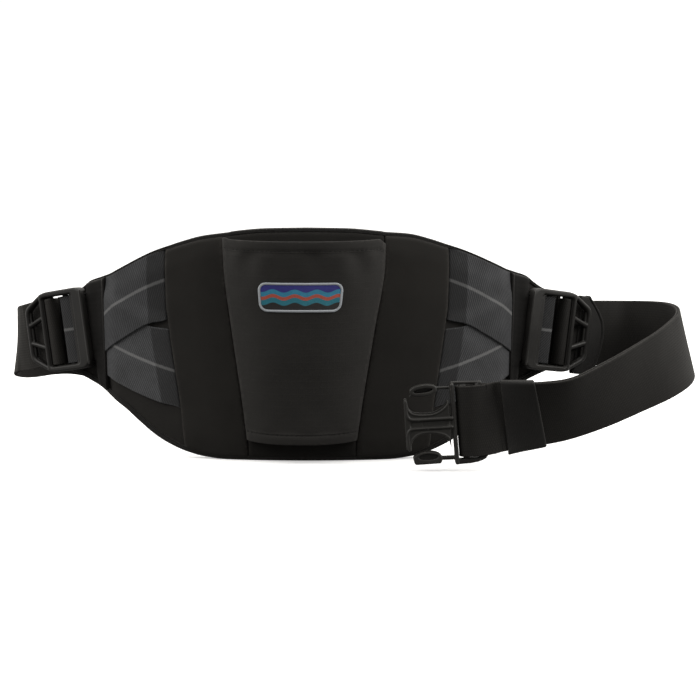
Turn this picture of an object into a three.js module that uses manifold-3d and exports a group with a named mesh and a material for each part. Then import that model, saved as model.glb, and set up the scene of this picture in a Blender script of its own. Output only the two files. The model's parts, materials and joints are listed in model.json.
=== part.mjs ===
// Wading belt: a padded lumbar panel with two wings, an open-ended sleeve on
// its outer face, a tension buckle at each wing tip and a 50 mm strap that
// closes in front with a side-release clasp.
//
// Units are millimetres, +Z is up. The belt stands on the lower edge of its
// panel: z = 0 is the surface under it, x = 0 is the middle of the panel, the
// outer face looks towards -Y and the wearer's side towards +Y.

import * as THREE from 'three';
import Module from 'manifold-3d';
import { mergeVertices } from 'three/addons/utils/BufferGeometryUtils.js';

const wasm = await Module();
wasm.setup();

const DEG = Math.PI / 180;

// ---------------------------------------------------------------- dimensions

const GAP = 0.3;             // clearance between neighbouring pieces
const WEB = 1.5;             // thickness of the 50 mm webbing
const WEB_W = 50;            // its width
const WEB_COLS = 2;          // columns of faces across it

// The panel lies on an upright cylinder and runs on straight past its ends.
const BEND_RADIUS = 272;     // radius of the panel's inner face
const BEND_HALF = 156;       // half the arc length that is curved
const INNER_Y = 12;          // inner face at the middle of the panel
const TIP = 206;             // arc length from the middle to a wing's tip

const PAD_T = 9;             // padding of panel and wings
const TAPE = 1.0;            // binding tape
const TAPE_GAP = 0.5;        // between the tape and the padding's faces
const TAPE_TOP_W = 3.0;      // how far the tape laps over the face, top edge
const TAPE_LOW_W = 2.6;      // the same along the bottom
const TAPE_WING_W = 5.0;     // the same under the wings
const FACE_T = 2.3;          // face cloth of the centre panel, with its foam

// Outline of the panel: height of its lower and upper edge at arc length s.
const OUTLINE = [
  { s: 0, low: 0, high: 166.6 },
  { s: 28, low: 0, high: 166.1 },
  { s: 57, low: 0, high: 163.4 },
  { s: 73, low: 1.4, high: 161.7 },
  { s: 88, low: 4.6, high: 157.9 },
  { s: 101, low: 9.5, high: 153.7 },
  { s: 112, low: 15.4, high: 150.0 },
  { s: 124, low: 23.7, high: 145.1 },
  { s: 136, low: 32.5, high: 139.7 },
  { s: 149, low: 39.9, high: 134.2 },
  { s: 160, low: 44.8, high: 131.4 },
  { s: 172, low: 49.7, high: 128.0 },
  { s: 180, low: 52.6, high: 122.8 },
  { s: 190, low: 55.6, high: 117.5 },
  { s: 200, low: 58.4, high: 115.0 },
  { s: 206, low: 60.8, high: 113.8 },
];

// The right half stands a little higher than the left one: over the shoulder,
// and again over the wing.
const SKEW_IN = 0.7, SKEW_OUT = 1.1;

// Front and back of the padding above the cylinder: full to the wing, then
// pinched flat behind the buckle.
const PADDING = [
  { s: 0, back: 0, front: PAD_T },
  { s: 140, back: 0, front: PAD_T },
  { s: 167, back: -3.5, front: 1.0 },
  { s: 206, back: -3.5, front: 1.0 },
];

// Seam where the wing straps meet the centre panel.
const SEAM = [
  { z: 0, s: 87.5 },
  { z: 20, s: 88.6 },
  { z: 36, s: 89.9 },
  { z: 64, s: 94.0 },
  { z: 93, s: 98.2 },
  { z: 112, s: 100.4 },
  { z: 167, s: 101.6 },
];

// Sleeve: middle and half width at its seams, and how far its front stands off.
const SLEEVE = [
  { z: 15.6, mid: -3.2, half: 37.8, bulge: 13.0 },
  { z: 45, mid: -2.9, half: 41.6, bulge: 14.5 },
  { z: 96, mid: -2.3, half: 49.2, bulge: 18.5 },
  { z: 140, mid: -1.4, half: 55.2, bulge: 22.0 },
  { z: 159.5, mid: -1.6, half: 55.9, bulge: 22.5 },
];
const SLEEVE_T = 1.4;
const SLEEVE_DIP = 1.4;      // the hems hang lower in the middle

// Wing webbing from the seam (first row) to the end cap (last row).
const WING_UPPER = [
  { sLow: 100.2, zLow: 100.8, sTop: 102.0, zTop: 152.0 },
  { sLow: 115.5, zLow: 95.9, sTop: 117.0, zTop: 152.0 },
  { sLow: 127.0, zLow: 89.6, sTop: 130.0, zTop: 152.0 },
  { sLow: 139.0, zLow: 82.6, sTop: 142.0, zTop: 152.0 },
  { sLow: 153.0, zLow: 74.6, sTop: 154.6, zTop: 152.0 },
];
const WING_LOWER = [
  { sLow: 90.3, zLow: 35.6, sTop: 98.4, zTop: 93.2 },
  { sLow: 108.0, zLow: 40.4, sTop: 112.0, zTop: 94.9 },
  { sLow: 124.0, zLow: 45.6, sTop: 126.0, zTop: 99.6 },
  { sLow: 139.0, zLow: 51.4, sTop: 140.0, zTop: 104.8 },
  { sLow: 152.6, zLow: 56.6, sTop: 153.6, zTop: 110.0 },
];
const WING_T = 1.5;

// End cap over the wing tip.
const CAP_START = 154.3;     // arc length of its seam at mid height
const CAP_GAP = 0.6;         // its outer edge stops short of the buckle's rail
const CAP_TOP = 9.2;         // height of that edge

// Tension buckles: u runs outwards along the strap, w across it, n outwards
// from the panel. Origin at the inner end, on the strap's own level.
const BUCKLE = {
  right: { x: 161.2, y: 57.9, z: 91.2, yaw: 33, droop: 8.0 },
  left: { x: -162.3, y: 58.3, z: 91.9, yaw: 33, droop: 9.3 },
};
const BK_LEVEL = 5.6;        // height of a buckle's own level above the cylinder
const BK_START = -3, BK_LENGTH = 56.8, BK_HALF = 30.2, BK_INNER = 26.3, BK_HIGH = 9;
const BK_CHAMFER_U = 38, BK_RIM_HALF = 19.4;
const GRIP_LOW = 3.6, GRIP_HIGH = 8.2, GRIP_START = 37.35;

// Strap around the buckle's centre bar, in u and n.
const WRAP = [
  { u: 52, n: -1.25 }, { u: 38, n: -1.25 }, { u: 31.0, n: -1.25 },
  { u: 29.8, n: -0.85 }, { u: 29.4, n: 0.3 }, { u: 29.5, n: 4.0 },
  { u: 30.6, n: 6.2 }, { u: 32.8, n: 7.1 }, { u: 34.6, n: 6.8 },
  { u: 35.9, n: 5.7 }, { u: 36.3, n: 4.2 }, { u: 36.3, n: 2.2 },
  { u: 36.7, n: 1.0 }, { u: 37.9, n: 0.55 }, { u: 52, n: 0.55 },
];
// Wing webbing around the anchor bar, in u and n.
const ANCHOR = [
  { u: -0.4, n: 2.6 }, { u: 6.5, n: 2.6 }, { u: 10.5, n: 3.6 },
  { u: 14.0, n: 4.6 }, { u: 20.2, n: 4.8 }, { u: 21.6, n: 4.4 },
  { u: 22.0, n: 3.0 }, { u: 22.0, n: 1.5 }, { u: 21.6, n: 0.3 },
  { u: 20.2, n: -0.1 }, { u: -0.4, n: -0.1 },
];
const LAYER = 1.8;           // pitch of two strap layers

// Strap routes: both edges of the webbing, from just past the buckle.
const ROUTE_RIGHT = [
  { topX: 227.4, topY: 102.7, topZ: 108.0, lowX: 222.7, lowY: 99.4, lowZ: 58.0 },
  { topX: 244.5, topY: 112.0, topZ: 107.0, lowX: 243.1, lowY: 104.6, lowZ: 57.5 },
  { topX: 262.7, topY: 102.9, topZ: 107.5, lowX: 263.4, lowY: 100.6, lowZ: 57.5 },
  { topX: 273.6, topY: 85.1, topZ: 107.4, lowX: 280.0, lowY: 88.6, lowZ: 57.7 },
  { topX: 276.3, topY: 64.6, topZ: 105.6, lowX: 287.7, lowY: 69.6, lowZ: 57.0 },
  { topX: 271.9, topY: 44.7, topZ: 102.2, lowX: 286.0, lowY: 49.2, lowZ: 54.4 },
  { topX: 262.4, topY: 26.8, topZ: 97.6, lowX: 278.3, lowY: 30.5, lowZ: 50.4 },
  { topX: 250.9, topY: 10.4, topZ: 92.4, lowX: 264.6, lowY: 16.2, lowZ: 44.7 },
  { topX: 230.2, topY: -11.1, topZ: 83.6, lowX: 239.0, lowY: 1.2, lowZ: 35.9 },
  { topX: 207.2, topY: -30.3, topZ: 74.0, lowX: 212.6, lowY: -12.9, lowZ: 27.6 },
  { topX: 181.3, topY: -46.2, topZ: 64.9, lowX: 185.0, lowY: -23.8, lowZ: 20.3 },
  { topX: 160.9, topY: -48.2, topZ: 62.7, lowX: 165.7, lowY: -29.0, lowZ: 16.8 },
  { topX: 140.8, topY: -43.2, topZ: 61.7, lowX: 145.8, lowY: -33.2, lowZ: 13.9 },
  { topX: 130.9, topY: -37.6, topZ: 61.3, lowX: 135.6, lowY: -37.2, lowZ: 12.0 },
];
const ROUTE_LEFT = [
  { topX: -216.9, topY: 95.0, topZ: 105.3, lowX: -211.9, lowY: 91.8, lowZ: 55.7 },
  { topX: -220.5, topY: 100.6, topZ: 104.0, lowX: -217.9, lowY: 96.8, lowZ: 54.5 },
  { topX: -222.4, topY: 107.4, topZ: 102.6, lowX: -223.6, lowY: 103.1, lowZ: 52.9 },
  { topX: -223.6, topY: 114.6, topZ: 99.6, lowX: -226.8, lowY: 110.4, lowZ: 49.8 },
  { topX: -222.4, topY: 122.9, topZ: 96.6, lowX: -226.8, lowY: 118.9, lowZ: 46.8 },
  { topX: -218.2, topY: 130.8, topZ: 94.8, lowX: -224.4, lowY: 126.8, lowZ: 45.0 },
  { topX: -212.3, topY: 136.3, topZ: 94.1, lowX: -220.8, lowY: 134.4, lowZ: 44.4 },
  { topX: -199.3, topY: 141.7, topZ: 93.6, lowX: -209.9, lowY: 147.8, lowZ: 45.0 },
  { topX: -183.8, topY: 143.2, topZ: 91.2, lowX: -197.0, lowY: 156.6, lowZ: 44.9 },
  { topX: -167.6, topY: 143.1, topZ: 87.6, lowX: -180.7, lowY: 158.9, lowZ: 42.2 },
  { topX: -143.3, topY: 142.4, topZ: 81.7, lowX: -157.3, lowY: 155.3, lowZ: 35.5 },
  { topX: -119.0, topY: 142.9, topZ: 73.9, lowX: -134.0, lowY: 149.6, lowZ: 26.6 },
  { topX: -86.7, topY: 143.8, topZ: 63.36, lowX: -101.9, lowY: 146.1, lowZ: 15.86 },
];
const TAIL_RIGHT_END = 0.94;  // where the free end stops, as a part of the route
const TAIL_LEFT_END = 0.62;

// Keepers.
const KEEPER_T = 1.1;
// Stations of the route at mid width, and how far they lead at the top edge.
const KEEPER_FRONT = { from: 40.77, to: 46.36, leadFrom: 0.54, leadTo: 0.23 };
const KEEPER_RIGHT = { in: 50, half: 29.0, drop: 0.9 };
// Its outer edge: how far out it reaches at each place across the strap.
const KEEPER_CURVE = [
  { w: -29, reach: 63.5 }, { w: -24, reach: 69 }, { w: -16, reach: 73 },
  { w: -8, reach: 75.3 }, { w: 1, reach: 76 }, { w: 10, reach: 73.5 },
  { w: 17.5, reach: 68.3 }, { w: 25, reach: 61 }, { w: 29, reach: 57 },
];

// Side-release clasp: a runs along the strap from the mouth to the end bar,
// b across it, c towards the side that shows.
const CLASP = { x: 103.0, y: -37.2, z: 33.6, tilt: 4.0, barA: 35 };
const CLASP_HALF = 28;
const PLATE_IN = 2.9, PLATE_OUT = 5.3; // the two plates, either side of the mouth
const LOOP_R = 3.6;          // strap loop around the clasp's bars

// ------------------------------------------------------------------- helpers

// Smooth value from a table with rows sorted by `key`, flat where rows agree.
function at(rows, key, name, x) {
  const n = rows.length;
  if (x <= rows[0][key]) return rows[0][name];
  if (x >= rows[n - 1][key]) return rows[n - 1][name];
  let i = 0;
  while (rows[i + 1][key] < x) i++;
  const slope = (j) => (rows[j + 1][name] - rows[j][name]) / (rows[j + 1][key] - rows[j][key]);
  const tangent = (j) => {
    if (j === 0) return slope(0);
    if (j === n - 1) return slope(n - 2);
    const a = slope(j - 1), b = slope(j);
    return a * b <= 0 ? 0 : (2 * a * b) / (a + b);
  };
  const h = rows[i + 1][key] - rows[i][key], t = (x - rows[i][key]) / h;
  const t2 = t * t, t3 = t2 * t;
  return (2 * t3 - 3 * t2 + 1) * rows[i][name] + (t3 - 2 * t2 + t) * h * tangent(i)
    + (-2 * t3 + 3 * t2) * rows[i + 1][name] + (t3 - t2) * h * tangent(i + 1);
}
const mix = (a, b, t) => a + (b - a) * t;
const step = (a, b, x) => { const t = Math.min(1, Math.max(0, (x - a) / (b - a))); return t * t * (3 - 2 * t); };

// Point of the belt's pattern: arc length s, height z, distance n outwards.
function place(s, z, n) {
  const c = Math.max(-BEND_HALF, Math.min(BEND_HALF, s)), a = c / BEND_RADIUS, e = s - c;
  return new THREE.Vector3(
    (BEND_RADIUS + n) * Math.sin(a) + e * Math.cos(a),
    INNER_Y + BEND_RADIUS - (BEND_RADIUS + n) * Math.cos(a) + e * Math.sin(a),
    z);
}
const low = (s) => at(OUTLINE, 's', 'low', Math.abs(s));
const high = (s) => at(OUTLINE, 's', 'high', Math.abs(s))
  + Math.sign(s) * (SKEW_IN * step(45, 80, Math.abs(s)) + SKEW_OUT * step(100, 150, Math.abs(s)));
const front = (s) => at(PADDING, 's', 'front', Math.abs(s));
const back = (s) => at(PADDING, 's', 'back', Math.abs(s));
const tapeLow = (s) => mix(TAPE_LOW_W, TAPE_WING_W, step(70, 105, Math.abs(s)));

// Closed mesh from points and triangles, turned to face outwards.
function solid(points, tris) {
  let volume = 0;
  const v = new THREE.Vector3();
  for (const [a, b, c] of tris) volume += points[a].dot(v.crossVectors(points[b], points[c]));
  const index = [];
  for (const [a, b, c] of tris) volume > 0 ? index.push(a, b, c) : index.push(a, c, b);
  const g = new THREE.BufferGeometry();
  g.setAttribute('position', new THREE.Float32BufferAttribute(points.flatMap((p) => [p.x, p.y, p.z]), 3));
  g.setIndex(index);
  g.computeVertexNormals();
  return g;
}

// A wall between two faces: f(u, v, side) with side 0 and 1, and u going all
// the way round when `ring` is true. `turned(i)` picks the other diagonal.
function wall(nu, nv, f, ring = false, turned = () => false) {
  const pts = [], tris = [], cols = ring ? nu : nu + 1;
  for (const side of [0, 1]) for (let i = 0; i < cols; i++) for (let j = 0; j <= nv; j++) pts.push(f(i / nu, j / nv, side));
  const id = (i, j, side) => side * cols * (nv + 1) + (i % cols) * (nv + 1) + j;
  const quad = (a, b, c, d) => { tris.push([a, b, c], [a, c, d]); };
  for (let i = 0; i < nu; i++) {
    for (let j = 0; j < nv; j++) {
      const p = [0, 1].map((side) => [id(i, j, side), id(i, j + 1, side), id(i + 1, j + 1, side), id(i + 1, j, side)]);
      const k = turned(i) ? 1 : 0;
      quad(p[0][k], p[0][k + 1], p[0][k + 2], p[0][(k + 3) % 4]);
      quad(p[1][k], p[1][(k + 3) % 4], p[1][k + 2], p[1][k + 1]);
    }
    quad(id(i, 0, 0), id(i + 1, 0, 0), id(i + 1, 0, 1), id(i, 0, 1));
    quad(id(i, nv, 0), id(i, nv, 1), id(i + 1, nv, 1), id(i + 1, nv, 0));
  }
  if (!ring) for (let j = 0; j < nv; j++) {
    quad(id(0, j, 0), id(0, j, 1), id(0, j + 1, 1), id(0, j + 1, 0));
    quad(id(nu, j, 0), id(nu, j + 1, 0), id(nu, j + 1, 1), id(nu, j, 1));
  }
  return solid(pts, tris);
}

// A closed band: each section is a loop of the same number of points.
function band(sections) {
  const m = sections[0].length, pts = sections.flat(), tris = [], n = sections.length;
  for (let i = 0; i < n; i++) for (let j = 0; j < m; j++) {
    const a = i * m + j, b = i * m + (j + 1) % m, c = ((i + 1) % n) * m + (j + 1) % m, d = ((i + 1) % n) * m + j;
    tris.push([a, b, c], [a, c, d]);
  }
  return solid(pts, tris);
}

// Webbing along a list of stations { c, w, n }: middle, width and normal. A
// station that is `back` belongs to a layer walked the other way, so its quads
// are split along the other diagonal and the layers stay parallel in a twist.
function webbing(stations, width, thick) {
  return wall(stations.length - 1, WEB_COLS, (u, v, side) => {
    const q = stations[Math.round(u * (stations.length - 1))];
    return q.c.clone().addScaledVector(q.w, (v - 0.5) * width).addScaledVector(q.n, (side - 0.5) * thick);
  }, false, (i) => stations[i].back && stations[i + 1].back);
}

// Solid for joining and cutting, and back again.
function body(geometry) {
  const g = geometry.clone();
  g.deleteAttribute('normal');
  if (g.getAttribute('uv')) g.deleteAttribute('uv');
  const m = mergeVertices(g, 1e-4);
  return new wasm.Manifold(new wasm.Mesh({
    numProp: 3,
    vertProperties: new Float32Array(m.getAttribute('position').array),
    triVerts: new Uint32Array(m.getIndex().array),
  }));
}
function shape(manifold) {
  const m = manifold.getMesh(), g = new THREE.BufferGeometry();
  const p = new Float32Array((m.vertProperties.length / m.numProp) * 3);
  for (let i = 0; i < p.length / 3; i++) for (let k = 0; k < 3; k++) p[3 * i + k] = m.vertProperties[i * m.numProp + k];
  g.setAttribute('position', new THREE.Float32BufferAttribute(p, 3));
  g.setIndex(new THREE.Uint32BufferAttribute(m.triVerts, 1));
  g.computeVertexNormals();
  return g;
}
// Prism over a flat outline, from height z0 to z1, with optional holes.
function prism(outline, z0, z1, holes = []) {
  const s = new THREE.Shape(outline.map(([x, y]) => new THREE.Vector2(x, y)));
  for (const h of holes) s.holes.push(new THREE.Path(h.map(([x, y]) => new THREE.Vector2(x, y))));
  const g = new THREE.ExtrudeGeometry(s, { depth: z1 - z0, bevelEnabled: false });
  g.translate(0, 0, z0);
  return body(g);
}
const rect = (x0, x1, y0, y1) => [[x0, y0], [x1, y0], [x1, y1], [x0, y1]];
function oval(cx, cy, rx, ry, n = 20) {
  return Array.from({ length: n }, (_, i) => [cx + rx * Math.cos((2 * Math.PI * i) / n), cy + ry * Math.sin((2 * Math.PI * i) / n)]);
}
const join = (list) => list.reduce((a, b) => a.add(b));

const belt = new THREE.Group();
const CLOTH = { color: 0x1d1c1b, roughness: 0.9, metalness: 0 };
const SLEEVE_CLOTH = { color: 0x242322, roughness: 0.85, metalness: 0 };
const TWILL = { color: 0x36383b, roughness: 0.9, metalness: 0 };
const WEBBING = { color: 0x1a1917, roughness: 0.85, metalness: 0 };
const PLASTIC = { color: 0x141414, roughness: 0.45, metalness: 0 };
function add(name, geometry, look, matrix = null) {
  const m = new THREE.Mesh(geometry, new THREE.MeshStandardMaterial(look));
  m.name = name;
  if (matrix) { matrix.decompose(m.position, m.quaternion, m.scale); }
  belt.add(m);
  return m;
}

// ------------------------------------------------------------ padded panel

const PAD_IN = TAPE + 0.5;   // the padding stops inside the tape
const PAD_U = 52;
// Arc lengths of the sections, closer together towards the tips.
const sectionAt = (t) => -TIP * Math.cos(Math.PI * t) * 0.35 + mix(-TIP, TIP, t) * 0.65;
const slopeOf = (f, s) => Math.hypot(1, (f(s + 0.5) - f(s - 0.5)));
add('back_pad', wall(PAD_U, 1, (u, v, side) => {
  const s = Math.max(-TIP + PAD_IN + 0.5, Math.min(TIP - PAD_IN - 0.5, sectionAt(u)));
  const z0 = low(s) + (PAD_IN + 0.15) * slopeOf(low, s), z1 = high(s) - (PAD_IN + 0.15) * slopeOf(high, s);
  return place(s, mix(z0, z1, v), side ? front(s) : back(s));
}), CLOTH);

// Binding tape: a U around the edge, swept along the outline.
const tapeSections = [];
{
  const path = [], N = PAD_U;
  for (let i = 0; i <= N; i++) { const s = sectionAt(i / N); path.push({ s, z: low(s), lap: tapeLow(s) }); }
  for (let i = N; i >= 0; i--) { const s = sectionAt(i / N); path.push({ s, z: high(s), lap: TAPE_TOP_W }); }
  const n = path.length;
  for (let i = 0; i < n; i++) {
    const p = path[i], q0 = path[(i + n - 1) % n], q1 = path[(i + 1) % n];
    // inward direction in the pattern, from the two neighbouring edges
    const e0 = new THREE.Vector2(p.s - q0.s, p.z - q0.z).normalize();
    const e1 = new THREE.Vector2(q1.s - p.s, q1.z - p.z).normalize();
    const d = new THREE.Vector2(-(e0.y + e1.y), e0.x + e1.x).normalize();
    const stretch = Math.min(1.5, 1 / Math.max(0.3, d.x * -e1.y + d.y * e1.x));
    const P = (inward, face, off) => {
      const s = p.s + d.x * inward * stretch;
      return place(s, p.z + d.y * inward * stretch, (face ? front(s) : back(s)) + off);
    };
    tapeSections.push([
      P(0, 0, -TAPE - TAPE_GAP), P(0, 1, TAPE + TAPE_GAP), P(p.lap, 1, TAPE + TAPE_GAP), P(p.lap, 1, TAPE_GAP),
      P(TAPE, 1, TAPE_GAP), P(TAPE, 0, -TAPE_GAP), P(p.lap, 0, -TAPE_GAP), P(p.lap, 0, -TAPE - TAPE_GAP),
    ]);
  }
}
add('edge_binding', band(tapeSections), CLOTH);

// ------------------------------------------------------- centre panel pieces

const seam = (z) => at(SEAM, 'z', 's', z);
const sleeveEdge = (z, side) => at(SLEEVE, 'z', 'mid', z) + side * at(SLEEVE, 'z', 'half', z);
// Range of heights of the face cloth at arc length s, inside the tape.
const faceLow = (s) => low(s) + (tapeLow(s) + GAP) * slopeOf(low, s);
const faceHigh = (s) => high(s) - (TAPE_TOP_W + GAP) * slopeOf(high, s);
function faceCloth(name, left, right, nu, thick) {
  add(name, wall(nu, 8, (u, v, side) => {
    // the side edges are slanted lines, so the height is found at each one
    let z = mix(0, 167, v), s = 0;
    for (let k = 0; k < 6; k++) { s = mix(left(z), right(z), u); z = mix(faceLow(s), faceHigh(s), v); }
    return place(s, z, PAD_T + GAP + side * thick);
  }), CLOTH);
}
const INSET = 0.25;
faceCloth('panel_left', (z) => -seam(z) + INSET, (z) => sleeveEdge(z, -1) - INSET, 5, FACE_T);
faceCloth('panel_middle', (z) => sleeveEdge(z, -1) + INSET, (z) => sleeveEdge(z, 1) - INSET, 9, FACE_T - 0.5);
faceCloth('panel_right', (z) => sleeveEdge(z, 1) + INSET, (z) => seam(z) - INSET, 5, FACE_T);

// Sleeve front: seams at both sides, open at top and bottom.
const SLEEVE_BASE = PAD_T + GAP + FACE_T + GAP;
add('sleeve_front', wall(18, 9, (u, v, side) => {
  const z0 = mix(SLEEVE[0].z, SLEEVE[SLEEVE.length - 1].z, v), t = 2 * u - 1;
  const arch = Math.pow(1 - Math.pow(Math.abs(t), 2.6), 0.8);
  const rise = at(SLEEVE, 'z', 'bulge', z0) * arch;
  const s = at(SLEEVE, 'z', 'mid', z0) + at(SLEEVE, 'z', 'half', z0) * t * (1 - 0.02 * side);
  return place(s * (1 - rise / (BEND_RADIUS + 30)), z0 - SLEEVE_DIP * arch, SLEEVE_BASE + rise + side * SLEEVE_T);
}), SLEEVE_CLOTH);

// ------------------------------------------------------------- wing webbing

const lerpRow = (rows, name, t) => at(rows.map((r, i) => ({ k: i, v: r[name] })), 'k', 'v', t * (rows.length - 1));
// Upper edge of the lower webbing at arc length s, to lift the upper one over it.
const lowerTop = (s) => at(WING_LOWER.map((r) => ({ s: r.sTop, z: r.zTop })), 's', 'z', s);
function wingStrap(name, side, rows, over) {
  add(name, wall(9, 5, (u, v, face) => {
    let s = mix(lerpRow(rows, 'sLow', u), lerpRow(rows, 'sTop', u), v);
    let z = mix(lerpRow(rows, 'zLow', u), lerpRow(rows, 'zTop', u), v);
    if (over) z = mix(lerpRow(rows, 'zLow', u), faceHigh(side * s), v);
    if (u === 0) s = seam(z) + GAP;
    const lift = over ? LAYER * (1 - step(2.5, 14, z - lowerTop(s))) : 0;
    return place(side * s, z, front(s) + 2 * GAP + lift + face * WING_T);
  }), TWILL);
}
for (const [label, side] of [['left', -1], ['right', 1]]) {
  wingStrap('wing_strap_lower_' + label, side, WING_LOWER, false);
  wingStrap('wing_strap_upper_' + label, side, WING_UPPER, true);
  // End cap: meets the webbing at its seam and ends along the buckle's rail.
  const b = BUCKLE[label], turn = BEND_HALF / BEND_RADIUS;
  const railS = BEND_HALF + (Math.abs(b.x) - (BEND_RADIUS + BK_LEVEL) * Math.sin(turn)) / Math.cos(turn) + BK_START;
  const capEnd = (z) => railS - CAP_GAP + (z - b.z) * Math.tan(b.droop * DEG);
  add('end_cap_' + label, wall(6, 6, (u, v, face) => {
    const z1 = (s) => mix(faceLow(s) + GAP, faceHigh(side * s) - GAP, v);
    let s = CAP_START, z = z1(s);
    for (let k = 0; k < 6; k++) { s = mix(CAP_START + 1.0 * (z - 91) / 36, capEnd(z), u); z = z1(s); }
    const top = mix(front(s) + GAP + 3.9, CAP_TOP, step(0.2, 1, u));
    return place(side * s, z, face ? top : front(s) + 2 * GAP);
  }), CLOTH);
}

// ---------------------------------------------------------- tension buckles

// Frame of a buckle: columns u, w and n, with w upwards.
function buckleFrame(label) {
  const b = BUCKLE[label], side = label === 'right' ? 1 : -1;
  const yaw = b.yaw * DEG, droop = b.droop * DEG;
  const u = new THREE.Vector3(side * Math.cos(yaw) * Math.cos(droop), Math.sin(yaw) * Math.cos(droop), -Math.sin(droop));
  const n = new THREE.Vector3(side * Math.sin(yaw), -Math.cos(yaw), 0);
  const w = new THREE.Vector3().crossVectors(n, u).multiplyScalar(side);
  return { o: new THREE.Vector3(b.x, b.y, b.z), u, w, n, side };
}
const onBuckle = (f, u, w, n) => f.o.clone().addScaledVector(f.u, u).addScaledVector(f.w, w).addScaledVector(f.n, n);

function buckleBody(mirror) {
  const m = (list) => list.map(([u, w]) => [u, w * mirror]);
  const railTop = m([[BK_START, BK_INNER], [40.5, BK_INNER], [40.5, 28.7], [BK_CHAMFER_U, BK_HALF], [BK_START, BK_HALF]]);
  const railLow = m([[BK_START, -BK_HALF], [BK_CHAMFER_U, -BK_HALF], [40.5, -28.7], [40.5, -BK_INNER], [BK_START, -BK_INNER]]);
  const grip = m([[GRIP_START, -BK_HALF + 0.4], [BK_CHAMFER_U, -BK_HALF], [BK_LENGTH, -BK_RIM_HALF], [BK_LENGTH, BK_RIM_HALF],
    [BK_CHAMFER_U, BK_HALF], [GRIP_START, BK_HALF - 0.4]]);
  const holes = [
    m([[40.3, -9.4], [51.5, -5.4], [51.5, 5.4], [40.3, 9.4]]),
    m([[40.3, 13.0], [51.5, 9.0], [51.5, 17.4], [42.2, 23.6], [40.3, 23.6]]),
    m([[40.3, -13.0], [40.3, -23.6], [42.2, -23.6], [51.5, -17.4], [51.5, -9.0]]),
  ];
  return shape(join([
    prism(railTop, 0, BK_HIGH), prism(railLow, 0, BK_HIGH),
    prism(m(rect(BK_START, 6.5, -27, 27)), 3.8, BK_HIGH),
    prism(m(rect(16, 20.9, -27, 27)), 1.0, 3.6),
    prism(m(rect(30.6, 35.1, -27, 27)), 1.0, 3.9),
    prism(m(rect(31.6, 34.3, -27, 27)), 3.7, 5.4),
    prism(grip, GRIP_LOW, GRIP_HIGH, holes),
  ]));
}
for (const label of ['left', 'right']) {
  const f = buckleFrame(label), basis = new THREE.Matrix4();
  basis.makeBasis(f.u, f.w.clone().multiplyScalar(f.side), f.n).setPosition(f.o);
  add('tension_buckle_' + label, buckleBody(1), PLASTIC, basis);
  const loop = ANCHOR.map((p, i) => {
    const a = ANCHOR[Math.max(0, i - 1)], b = ANCHOR[Math.min(ANCHOR.length - 1, i + 1)];
    const len = Math.hypot(b.u - a.u, b.n - a.n), du = (b.u - a.u) / len, dn = (b.n - a.n) / len;
    return { c: onBuckle(f, p.u, 0, p.n), w: f.w, n: f.n.clone().multiplyScalar(du).addScaledVector(f.u, -dn) };
  });
  add('anchor_loop_' + label, webbing(loop, WEB_W, WEB), TWILL);
}

// -------------------------------------------------------------- belt straps

// Station of a route at t: middle, width and outward normal of the load layer.
function stations(rows, side) {
  const top = new THREE.CatmullRomCurve3(rows.map((r) => new THREE.Vector3(r.topX, r.topY, r.topZ)));
  const bottom = new THREE.CatmullRomCurve3(rows.map((r) => new THREE.Vector3(r.lowX, r.lowY, r.lowZ)));
  const point = (t) => ({ a: top.getPoint(t), b: bottom.getPoint(t) });
  return (t) => {
    const p = point(t), q0 = point(Math.max(0, t - 0.01)), q1 = point(Math.min(1, t + 0.01));
    const c = p.a.clone().add(p.b).multiplyScalar(0.5);
    const w = p.a.clone().sub(p.b).normalize();
    const d = q1.a.clone().add(q1.b).sub(q0.a).sub(q0.b).normalize();
    const n = new THREE.Vector3().crossVectors(d, w).multiplyScalar(side).normalize();
    return { t, c, w, n, d };
  };
}
const route = (station, count) => Array.from({ length: count + 1 }, (_, i) => station(i / count));
const shifted = (q, n) => ({ ...q, c: q.c.clone().addScaledVector(q.n, n) });
// Stations around the centre bar of a buckle, ordered from load to tail.
function wrapStations(f) {
  return WRAP.map((p, i) => {
    const a = WRAP[Math.max(0, i - 1)], b = WRAP[Math.min(WRAP.length - 1, i + 1)];
    const len = Math.hypot(b.u - a.u, b.n - a.n), du = (b.u - a.u) / len, dn = (b.n - a.n) / len;
    // walking inwards and back out, so that one face stays on one side
    return { c: onBuckle(f, p.u, 0, p.n), w: f.w, n: f.n.clone().multiplyScalar(du).addScaledVector(f.u, -dn) };
  });
}
const flip = (q) => ({ ...q, n: q.n.clone().negate(), back: true });

const ROUTE_STEPS = 48;
const LEFT_STEPS = 36;
const rightStation = stations(ROUTE_RIGHT, 1);
const rightRoute = route(rightStation, ROUTE_STEPS);
const leftRoute = route(stations(ROUTE_LEFT, -1), LEFT_STEPS);

// Frame of the clasp that shows: a along the strap, b up, c to the front.
const claspA = new THREE.Vector3(Math.cos(CLASP.tilt * DEG), 0, Math.sin(CLASP.tilt * DEG));
const claspC = new THREE.Vector3(0, -1, 0);
const claspB = new THREE.Vector3().crossVectors(claspC, claspA);
const claspO = new THREE.Vector3(CLASP.x, CLASP.y, CLASP.z).addScaledVector(claspA, -CLASP.barA);

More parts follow.
